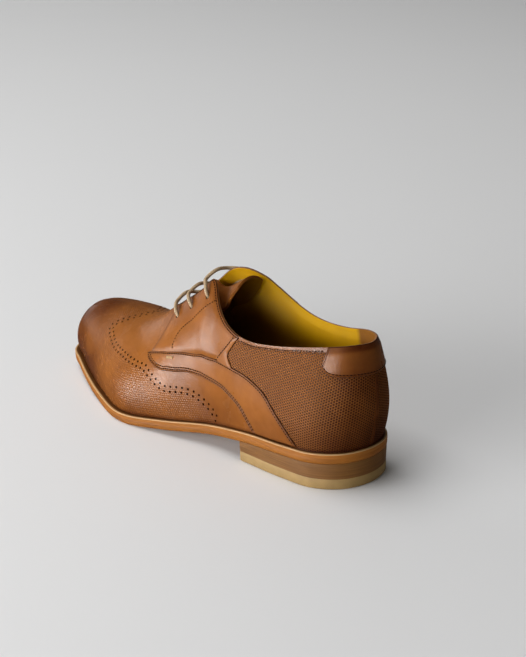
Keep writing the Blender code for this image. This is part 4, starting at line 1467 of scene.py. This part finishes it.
class SHOE_OT_tongue(bpy.types.Operator):
    """Tongue under the throat, leaning back over the opening"""

    bl_idname = "shoe.tongue"
    bl_label = "Tongue"

    ROWS = 64
    COLUMNS = 41
    PLACES = np.linspace(-1, 1, 9)

    def under_row(self, last, share, half_width, clearance=0.0007):
        """Points across the shoe under the wall at one share."""
        row = []
        for place in self.PLACES:
            side = "lateral" if place < 0 else "medial"
            at = np.array([share])
            way = last.gap_ways(side, at, np.array([max(abs(place) * half_width * MM, 1e-6)]))
            ahead = bezier(last.rib(side, at + 1.0), way) - bezier(last.rib(side, at - 1.0), way)
            point = bezier(last.rib(side, at), way)
            normal = np.cross(ahead, point - bezier(last.rib(side, at), way - 0.01))[0] * SIGN[side]
            if place == 0:
                normal[0] = 0.0
            row.append(point[0] - normal / np.linalg.norm(normal) * (last.sizes.wall + clearance))
        return np.array(row)

    def free_row(self, last, along, up, half_width, drop, shift):
        """Points across the tongue's free top."""
        heights = up * last.height / 100 - drop * MM * self.PLACES**2
        across = (shift + self.PLACES * half_width) * MM
        return np.column_stack((across, np.full(len(across), along * last.length / 100), heights))

    def execute(self, context):
        last, colours = dressing()
        rows = [self.under_row(last, *row) for row in TONGUE_UNDER]
        rows += [self.free_row(last, *row) for row in TONGUE_FREE]
        keys = np.arange(len(rows))
        table = np.column_stack((keys, np.reshape(rows, (len(rows), -1))))
        fine = smooth(table, np.linspace(0, keys[-1], self.ROWS)).reshape(self.ROWS, -1, 3)
        table = np.column_stack((self.PLACES, fine.swapaxes(0, 1).reshape(len(self.PLACES), -1)))
        grid = smooth(table, np.linspace(-1, 1, self.COLUMNS)).reshape(self.COLUMNS, self.ROWS, 3)
        whole = np.ones(grid.shape[:2])
        # The tongue's lining face takes the painted deep shade all over
        values = {"burnish_and_shade": 0.35 * whole, "border": FAR * whole, "seam": FAR * whole, "deep": whole}
        finishes = (smooth_leather(colours), lining_leather(colours))
        faces = grid_faces(self.COLUMNS, self.ROWS)
        piece = new_piece(last, "tongue_leaf", grid[::-1], faces, finishes, values)
        if np.mean([face.normal.z for face in piece.data.polygons]) < 0:
            piece.data.flip_normals()
        thicken(piece, last.sizes.tongue, inner=1)
        round_edges(piece)
        settle(piece)
        wear(piece, "upper_leather", "tongue")
        return {"FINISHED"}


class SHOE_OT_laces(bpy.types.Operator):
    """Round waxed lace: three bars over the throat, and hidden runs under the facings between the eyelets"""

    bl_idname = "shoe.laces"
    bl_label = "Laces"

    RIBS = 16
    STEP = 0.00045
    # Height of the lace's middle at each knot of a bar: inside the eyelet, then over the facing (mm)
    SUNK = (-3.1, -0.4)
    LIFTED = (0.4, 1.6, 1.3)

    def bar_route(self, last, number):
        """Points, wall directions and flatness of one bar, from inside one eyelet to inside the other."""
        share, climb = EYELETS[number]
        radius = last.sizes.lace / 2
        lying = last.sizes.overlay + radius * 0.8
        climbs = np.array((climb - 0.2, climb, climb + 2.2, (climb + 100) / 2 + 0.5, LACE_CLIMB))
        shares = share + np.array((0.0, 0.0, 0.1, LACE_LEAN / 2, LACE_LEAN))
        heights = np.append(np.array(self.SUNK) * MM, lying + np.array(self.LIFTED) * MM)
        halves = []
        for side in SIDES:
            halves.append((last.raised(side, shares, climbs, heights),
                           last.even_normal(side, shares, climbs, last.even_wall)))
        (left, left_up), (right, right_up) = halves
        top = (left[-1] + right[-1]) / 2 + (0.0, 0.0, LACE_RISE)
        top_up = left_up[-1] + right_up[-1]
        knots = np.vstack((left, top, right[::-1]))
        ups = np.vstack((left_up, top_up / np.linalg.norm(top_up), right_up[::-1]))
        return knots, ups, np.ones(len(knots))

    def hidden_route(self, last, side, first, second):
        """Points, wall directions and flatness of a run under the facing between two eyelets."""
        ways = np.linspace(0, 1, 6)
        low, high = np.array(EYELETS[first]), np.array(EYELETS[second])
        line = low + (high - low) * ways[:, None]
        depths = np.full(len(ways), -last.sizes.wall - HIDDEN_GAP)
        points = last.raised(side, line[:, 0], line[:, 1], depths)
        ups = last.even_normal(side, line[:, 0], line[:, 1], last.even_wall)
        return points, ups, np.full(len(ways), HIDDEN_FLAT)

    def tube(self, last, knots, ups, flatness):
        """Points, faces and braid of a lace along its knots."""
        keys = running_length(knots)
        count = max(int(keys[-1] / self.STEP), 8)
        line = smooth(np.column_stack((keys, knots, ups, flatness)), np.linspace(0, keys[-1], count))
        middle, up, flat = line[:, :3], line[:, 3:6], line[:, 6:]
        along = np.gradient(middle, axis=0)
        along /= np.linalg.norm(along, axis=1, keepdims=True)
        across = np.cross(along, up)
        across /= np.linalg.norm(across, axis=1, keepdims=True)
        up = np.cross(across, along)
        turns = np.linspace(0, 2 * np.pi, self.RIBS, endpoint=False)
        run = running_length(middle)[:, None] / BRAID_TURN * np.pi
        braid = np.abs(np.sin(run + 2 * turns) * np.sin(run - 2 * turns))
        radius = last.sizes.lace / 2 * (0.9 + 0.1 * braid)[..., None]
        ring = (across[:, None] * np.cos(turns)[None, :, None] / np.sqrt(np.clip(flat, 0.4, 1.0))[:, None]
                + up[:, None] * np.sin(turns)[None, :, None] * flat[:, None])
        points = middle[:, None] + ring * radius
        faces = grid_faces(count, self.RIBS, round_columns=True)
        faces.append(tuple(range(self.RIBS)))
        faces.append(tuple((count - 1) * self.RIBS + i for i in reversed(range(self.RIBS))))
        return points.reshape(-1, 3), faces, ease(0.0, 0.8, braid).ravel()

    def lace(self, last, name, routes, finish):
        """One piece from several runs of lace."""
        points, faces, braid = [], [], []
        for route in routes:
            start = sum(len(part) for part in points)
            run_points, run_faces, run_braid = self.tube(last, *route)
            points.append(run_points)
            faces += [tuple(start + i for i in face) for face in run_faces]
            braid.append(run_braid)
        values = {"braid": np.concatenate(braid)}
        return new_piece(last, name, np.vstack(points), faces, (finish,), values, closed=True)

    def execute(self, context):
        last, colours = dressing()
        finish = waxed_cotton(colours)
        for number in range(len(EYELETS)):
            node = "lace_bar_" + str(number + 1)
            piece = self.lace(last, "lace_" + str(number + 1), [self.bar_route(last, number)], finish)
            wear(piece, "lace", node)
        hidden = [("lateral", 0, 1), ("medial", 1, 2), ("medial", 0, 1), ("lateral", 1, 2)]
        runs = [self.hidden_route(last, *run) for run in hidden]
        wear(self.lace(last, "lace_hidden_runs", runs, finish), "lace")
        return {"FINISHED"}


def sole_body(last, name, shares, profile, heights, finish, hollow=0.0, columns=15):
    """Closed body over the sole's outline, between the heights of its top and bottom."""
    top, bottom = heights
    stations = len(shares)
    edges = []
    for inset, level in profile:
        pair = []
        for side in SIDES:
            plan, _ = last.outline_at(side, shares, np.full(stations, inset * MM))
            height = top(plan[:, 1]) * (1 - level) + bottom(plan[:, 1]) * level
            pair.append(np.column_stack((plan, height)))
        edges.append(pair)
    ways = np.linspace(0, 1, columns)[None, :, None]
    bulge = (4 * ways * (1 - ways))[0, :, 0]
    faces_across = []
    for left, right in (edges[0], edges[-1]):
        row = left[:, None] * (1 - ways) + right[:, None] * ways
        row[-1, :, 1] -= hollow * bulge
        faces_across.append(row)
    top_rows, bottom_rows = faces_across
    right_down = np.stack([right for _, right in edges[1:-1]], axis=1)
    left_up = np.stack([left for left, _ in edges[-2:0:-1]], axis=1)
    loops = np.concatenate((top_rows, right_down, bottom_rows[:, ::-1], left_up), axis=1)
    across = loops.shape[1]
    faces = grid_faces(stations, across, round_columns=True)
    base = (stations - 1) * across
    sides = len(profile) - 2
    low = base + columns + sides
    faces += [(base + i, base + i + 1, low + columns - 2 - i, low + columns - 1 - i)
              for i in range(columns - 1)]
    faces.append(tuple(base + columns - 1 + i for i in range(sides + 2)))
    faces.append(tuple(low + columns - 1 + i for i in range(sides + 1)) + (base,))
    piece = new_piece(last, name, loops, faces, (finish,), closed=True)
    piece.data.set_sharp_from_angle(angle=np.radians(SHARP_EDGE))
    return piece


class SHOE_OT_sole(bpy.types.Operator):
    """Welt, outsole and insole"""

    bl_idname = "shoe.sole"
    bl_label = "Sole"

    COLUMNS = 150

    def execute(self, context):
        last, colours = dressing()
        shares = ring_shares(self.COLUMNS)
        loops = []
        for inset, drop in WELT_PROFILE:
            halves = [last.outline_at(side, shares, np.full(len(shares), inset * MM))[0] for side in SIDES]
            loop = np.vstack((halves[0], halves[1][::-1][1:-1]))
            loops.append(np.column_stack((loop, last.welt_top(loop[:, 1]) - drop * MM)))
        grid = np.stack(loops, axis=1)
        faces = grid_faces(*grid.shape[:2], round_rows=True, round_columns=True)
        insets, drops = np.array(WELT_PROFILE).T
        values = {
            "rim": np.tile((insets < 1.0) & (drops < 0.5), (len(grid), 1)),
            # Inner part of the welt's top, which takes the painted shadow next to the upper
            "ledge_shade": np.tile(ease(0.9, 2.0, insets) * (drops < 0.1), (len(grid), 1)),
        }
        welt = new_piece(last, "welt_strip", grid, faces, (welt_leather(colours),), values, closed=True)
        welt.data.set_sharp_from_angle(angle=np.radians(SHARP_EDGE))
        wear(welt, "welt_leather", "welt")
        outsole = sole_body(last, "outsole_leather", shares, OUTSOLE_PROFILE,
                            (last.outsole_top, last.outsole_bottom), sole_edge(colours))
        wear(outsole, "sole_leather", "outsole")
        sizes = last.sizes
        insole_heights = (lambda along: last.outsole_top(along) + sizes.gap + sizes.insole,
                          lambda along: last.outsole_top(along) + sizes.gap)
        insole = sole_body(last, "insole_leather", shares, INSOLE_PROFILE, insole_heights,
                           lining_leather(colours))
        wear(insole, "lining", "insole")
        return {"FINISHED"}


class SHOE_OT_heel(bpy.types.Operator):
    """Stacked leather heel and its rubber top lift"""

    bl_idname = "shoe.heel"
    bl_label = "Heel"

    COLUMNS = 60
    # Hollow of the heel's breast (m)
    HOLLOW = 0.002

    def execute(self, context):
        last, colours = dressing()
        shares = np.linspace(0, 1, self.COLUMNS)**1.4 * last.breast_share()
        lift_top = last.sizes.top_lift
        clearance = last.sizes.gap / 6
        stack = sole_body(last, "heel_stack_leather", shares, STACK_PROFILE,
                          (lambda along: last.outsole_bottom(along) - clearance,
                           lambda along: np.full(len(along), lift_top + clearance)),
                          stacked_leather(colours), self.HOLLOW)
        wear(stack, "stacked_leather", "heel_stack")
        lift = sole_body(last, "top_lift_rubber", shares, LIFT_PROFILE,
                         (lambda along: np.full(len(along), lift_top),
                          lambda along: np.zeros(len(along))),
                         heel_rubber(colours), self.HOLLOW)
        wear(lift, "rubber", "top_lift")
        return {"FINISHED"}


def bead_tree():
    """Node tree that lays beads evenly along lines, turned to each line and its wall."""
    tree = bpy.data.node_groups.get("beads along seams")
    if tree:
        return tree
    tree = bpy.data.node_groups.new("beads along seams", "GeometryNodeTree")
    sockets = tree.interface
    sockets.new_socket("Geometry", in_out="INPUT", socket_type="NodeSocketGeometry")
    for label in ("Spacing", "Length", "Width", "Height"):
        sockets.new_socket(label, in_out="INPUT", socket_type="NodeSocketFloat")
    sockets.new_socket("Finish", in_out="INPUT", socket_type="NodeSocketMaterial")
    sockets.new_socket("Geometry", in_out="OUTPUT", socket_type="NodeSocketGeometry")
    nodes = tree.nodes
    given = nodes.new("NodeGroupInput")
    result = nodes.new("NodeGroupOutput")
    lines = nodes.new("GeometryNodeMeshToCurve")
    even = nodes.new("GeometryNodeResampleCurve")
    even.mode = "LENGTH"
    bead = nodes.new("GeometryNodeMeshUVSphere")
    bead.inputs["Segments"].default_value = 8
    bead.inputs["Rings"].default_value = 5
    bead.inputs["Radius"].default_value = 0.5
    normal = nodes.new("GeometryNodeInputNamedAttribute")
    normal.data_type = "FLOAT_VECTOR"
    normal.inputs["Name"].default_value = "seam_normal"
    tangent = nodes.new("GeometryNodeInputTangent")
    turn = nodes.new("FunctionNodeAxesToRotation")
    turn.primary_axis = "Z"
    turn.secondary_axis = "X"
    scale = nodes.new("ShaderNodeCombineXYZ")
    spread = nodes.new("GeometryNodeInstanceOnPoints")
    real = nodes.new("GeometryNodeRealizeInstances")
    soft = nodes.new("GeometryNodeSetShadeSmooth")
    finish = nodes.new("GeometryNodeSetMaterial")
    wires = (
        (given, "Geometry", lines, "Mesh"),
        (lines, "Curve", even, "Curve"),
        (given, "Spacing", even, "Length"),
        (even, "Curve", spread, "Points"),
        (bead, "Mesh", spread, "Instance"),
        (normal, "Attribute", turn, "Primary Axis"),
        (tangent, "Tangent", turn, "Secondary Axis"),
        (turn, "Rotation", spread, "Rotation"),
        (given, "Length", scale, "X"),
        (given, "Width", scale, "Y"),
        (given, "Height", scale, "Z"),
        (scale, "Vector", spread, "Scale"),
        (spread, "Instances", real, "Geometry"),
        (real, "Geometry", soft, "Geometry"),
        (soft, "Geometry", finish, "Geometry"),
        (given, "Finish", finish, "Material"),
        (finish, "Geometry", result, "Geometry"),
    )
    for start, output, end, socket in wires:
        tree.links.new(start.outputs[output], end.inputs[socket])
    return tree


def beads(last, name, lines, spacing, bead, finish):
    """Piece of beads along lines; a line is points and wall directions, a bead length, width and height."""
    mesh = bpy.data.meshes.new(name)
    points = np.vstack([line for line, _ in lines]) - last.origin
    normals = np.vstack([normal for _, normal in lines])
    ends = np.cumsum([len(line) for line, _ in lines])
    edges = [(i, i + 1) for i in range(len(points) - 1) if i + 1 not in set(ends)]
    mesh.from_pydata(points.tolist(), edges, [])
    layer = mesh.attributes.new("seam_normal", "FLOAT_VECTOR", "POINT")
    layer.data.foreach_set("vector", normals.astype(np.float32).ravel())
    piece = placed(name, mesh)
    tree = bead_tree()
    laid = piece.modifiers.new("beads", "NODES")
    laid.node_group = tree
    given = dict(zip(("Length", "Width", "Height"), bead), Spacing=spacing, Finish=finish)
    for item in tree.interface.items_tree:
        if item.in_out == "INPUT" and item.name in given:
            laid[item.identifier] = given[item.name]
    settle(piece)
    return piece


def surface_line(last, side, table, offset, height, samples=160):
    """Points and wall directions of a smooth line on the wall, moved sideways and raised."""
    rows = np.asarray(table, float)
    keys = np.arange(len(rows))
    line = smooth(np.column_stack((keys, rows)), np.linspace(0, keys[-1], samples))
    share, climb = np.clip(line[:, 0], 0, 100), np.clip(line[:, 1], 0, 100)
    if offset:
        share, climb = last.shifted(side, share, climb, offset * -SIGN[side])
    return (last.raised(side, share, climb, np.full(samples, height)),
            last.even_normal(side, share, climb, last.wall))


class SHOE_OT_stitches(bpy.types.Operator):
    """Seams of facings, bands, heel tab and collar, and the bar tacks"""

    bl_idname = "shoe.stitches"
    bl_label = "Stitches"

    def seams(self, last, side):
        """Lines of stitches on one side of the shoe."""
        face = last.sizes.overlay
        shares, climbs = facing_grid()
        rear = np.column_stack((shares[0], climbs[0]))[4:-6:4]
        top = np.column_stack((shares[:, -1], climbs[:, -1]))[4:-3:4]
        upper_share, upper_climb, lower_share, lower_climb = band_edges(np.linspace(0.0, 0.99, 40))
        upper = np.column_stack((upper_share, upper_climb))
        lower = np.column_stack((lower_share, lower_climb))
        collar = np.column_stack((np.linspace(*COLLAR_SEAM_REACH, 30), np.full(30, COLLAR_SEAM)))
        rows = (
            (rear, SEAM_INSET, face),
            (top, SEAM_INSET, face * 0.6),
            (upper, -SEAM_INSET, face),
            (lower, SEAM_INSET, face),
            (lower, SECOND_INSET, face),
            (FACING_SEAM, 0.0, face),
            (HEEL_TAB, -SEAM_INSET, face),
            (collar, 0.0, last.sizes.emboss),
        )
        return [surface_line(last, side, table, offset * MM, height) for table, offset, height in rows]

    def execute(self, context):
        last, colours = dressing()
        sizes = last.sizes
        dark = thread("seam_thread", colours.thread)
        bead = (sizes.stitch_length, sizes.thread, sizes.thread)
        lines = [line for side in SIDES for line in self.seams(last, side)]
        piece = beads(last, "seam_stitches", lines, sizes.stitch_pitch, bead, dark)
        wear(piece, "upper_leather")
        pale = thread("tack_thread", colours.tack)
        lift = sizes.overlay + TACK_LIFT
        tacks = [surface_line(last, side, BAR_TACK, 0.0, lift, 12) for side in SIDES]
        wear(beads(last, "bar_tacks", tacks, TACK_PITCH, TACK_BEAD, pale), "lace")
        return {"FINISHED"}


class SHOE_OT_pinholes(bpy.types.Operator):
    """Two staggered rows of pinholes along the wing line, over the vamp from side to side, as dark discs of
    painted shade
    """

    bl_idname = "shoe.pinholes"
    bl_label = "Pinholes"

    def execute(self, context):
        last, colours = dressing()
        sizes = last.sizes
        lines = []
        for row, start in ((-0.5, 0.0), (0.5, 0.5)):
            offset = row * sizes.pinhole_rows
            left, right = (surface_line(last, side, WING_LINE, offset, PINHOLE_LIFT, 240) for side in SIDES)
            points = np.vstack((left[0][::-1], right[0][1:]))
            normals = np.vstack((left[1][::-1], right[1][1:]))
            run = running_length(points)
            keep = run >= start * sizes.pinhole_pitch
            lines.append((points[keep], normals[keep]))
        bead = (sizes.pinhole, sizes.pinhole, PINHOLE_DISC)
        piece = beads(last, "wing_pinholes", lines, sizes.pinhole_pitch, bead, punched_hole(colours))
        wear(piece, "upper_leather")
        return {"FINISHED"}


class SHOE_OT_stage(bpy.types.Operator):
    """Pale floor, soft studio light and the camera"""

    bl_idname = "shoe.stage"
    bl_label = "Stage"

    def stand(self, place, axes):
        """Matrix of a place and three axes."""
        return Matrix.Translation(place) @ Matrix(np.array(axes).T.tolist()).to_4x4()

    def lamp(self, name, place, target, power, sides, mirrored):
        """Soft light of two sides that looks at a target; a mirrored one shows only in the gloss."""
        light = bpy.data.lights.new(name, "AREA")
        light.energy = power
        light.shape = "RECTANGLE"
        light.size, light.size_y = sides
        way = np.array(target) - np.array(place)
        across = np.cross(way, (0.0, 0.0, 1.0))
        axes = [axis / np.linalg.norm(axis) for axis in (across, np.cross(across, way), -way)]
        thing = placed(name, light)
        thing.matrix_world = self.stand(place, axes)
        thing.visible_glossy = mirrored
        thing.visible_diffuse = not mirrored

    def camera(self):
        """Camera at the photograph's place."""
        heading, dip, roll = np.radians(CAMERA_TURN)
        ahead = np.array((np.sin(heading) * np.cos(dip), np.cos(heading) * np.cos(dip), -np.sin(dip)))
        right = np.array((np.cos(heading), -np.sin(heading), 0.0))
        up = np.cross(right, ahead)
        axes = (right * np.cos(roll) + up * np.sin(roll), up * np.cos(roll) - right * np.sin(roll), -ahead)
        lens = bpy.data.cameras.new("camera")
        lens.lens = CAMERA_LENS
        lens.sensor_width = CAMERA_SENSOR
        lens.sensor_fit = "AUTO"
        lens.clip_start = 0.01
        thing = placed("camera", lens)
        thing.matrix_world = self.stand(CAMERA_PLACE, axes)
        bpy.context.scene.camera = thing

    def execute(self, context):
        scene = context.scene
        mesh = bpy.data.meshes.new("floor")
        reach = FLOOR_REACH
        corners = ((-reach, -reach), (reach, -reach), (reach, reach), (-reach, reach))
        mesh.from_pydata([(x, y, -FLOOR_DROP) for x, y in corners], [], [(0, 1, 2, 3)])
        mesh.materials.append(pale_floor(scene.shoe_colours))
        floor = placed("floor", mesh)
        floor.visible_glossy = False
        for lamp in LAMPS:
            self.lamp(*lamp)
        world = bpy.data.worlds.new("studio")
        world.use_nodes = True
        backdrop = world.node_tree.nodes["Background"]
        backdrop.inputs["Color"].default_value = BACKDROP
        backdrop.inputs["Strength"].default_value = BACKDROP_STRENGTH
        scene.world = world
        scene.view_settings.view_transform = "Standard"
        self.camera()
        return {"FINISHED"}


class SHOE_PT_pieces(bpy.types.Panel):
    """Pieces of the shoe, with their sizes and colours"""

    bl_label = "Derby shoe"
    bl_idname = "SHOE_PT_pieces"
    bl_space_type = "VIEW_3D"
    bl_region_type = "UI"
    bl_category = "Shoe"

    def draw(self, context):
        for operator in OPERATORS:
            self.layout.operator(operator.bl_idname)
        for group in (context.scene.shoe_sizes, context.scene.shoe_colours):
            for key in group.__annotations__:
                self.layout.prop(group, key)


OPERATORS = (
    SHOE_OT_stage,
    SHOE_OT_upper,
    SHOE_OT_quarters,
    SHOE_OT_facings,
    SHOE_OT_bands,
    SHOE_OT_heel_tab,
    SHOE_OT_tongue,
    SHOE_OT_laces,
    SHOE_OT_sole,
    SHOE_OT_heel,
    SHOE_OT_stitches,
    SHOE_OT_pinholes,
)
CLASSES = (ShoeSizes, ShoeColours) + OPERATORS + (SHOE_PT_pieces,)


def register():
    """Add the shoe's classes to Blender."""
    for each in CLASSES:
        bpy.utils.register_class(each)
    bpy.types.Scene.shoe_sizes = PointerProperty(type=ShoeSizes)
    bpy.types.Scene.shoe_colours = PointerProperty(type=ShoeColours)


def unregister():
    """Take the shoe's classes out of Blender."""
    del bpy.types.Scene.shoe_colours
    del bpy.types.Scene.shoe_sizes
    for each in reversed(CLASSES):
        bpy.utils.unregister_class(each)


def main():
    """Dress the shoe and set the stage."""
    register()
    bpy.ops.shoe.stage()
    bpy.ops.shoe.upper()
    bpy.ops.shoe.quarters()
    bpy.ops.shoe.facings()
    bpy.ops.shoe.bands()
    bpy.ops.shoe.heel_tab()
    bpy.ops.shoe.tongue()
    bpy.ops.shoe.laces()
    bpy.ops.shoe.sole()
    bpy.ops.shoe.heel()
    bpy.ops.shoe.stitches()
    bpy.ops.shoe.pinholes()


if __name__ == "__main__":
    main()
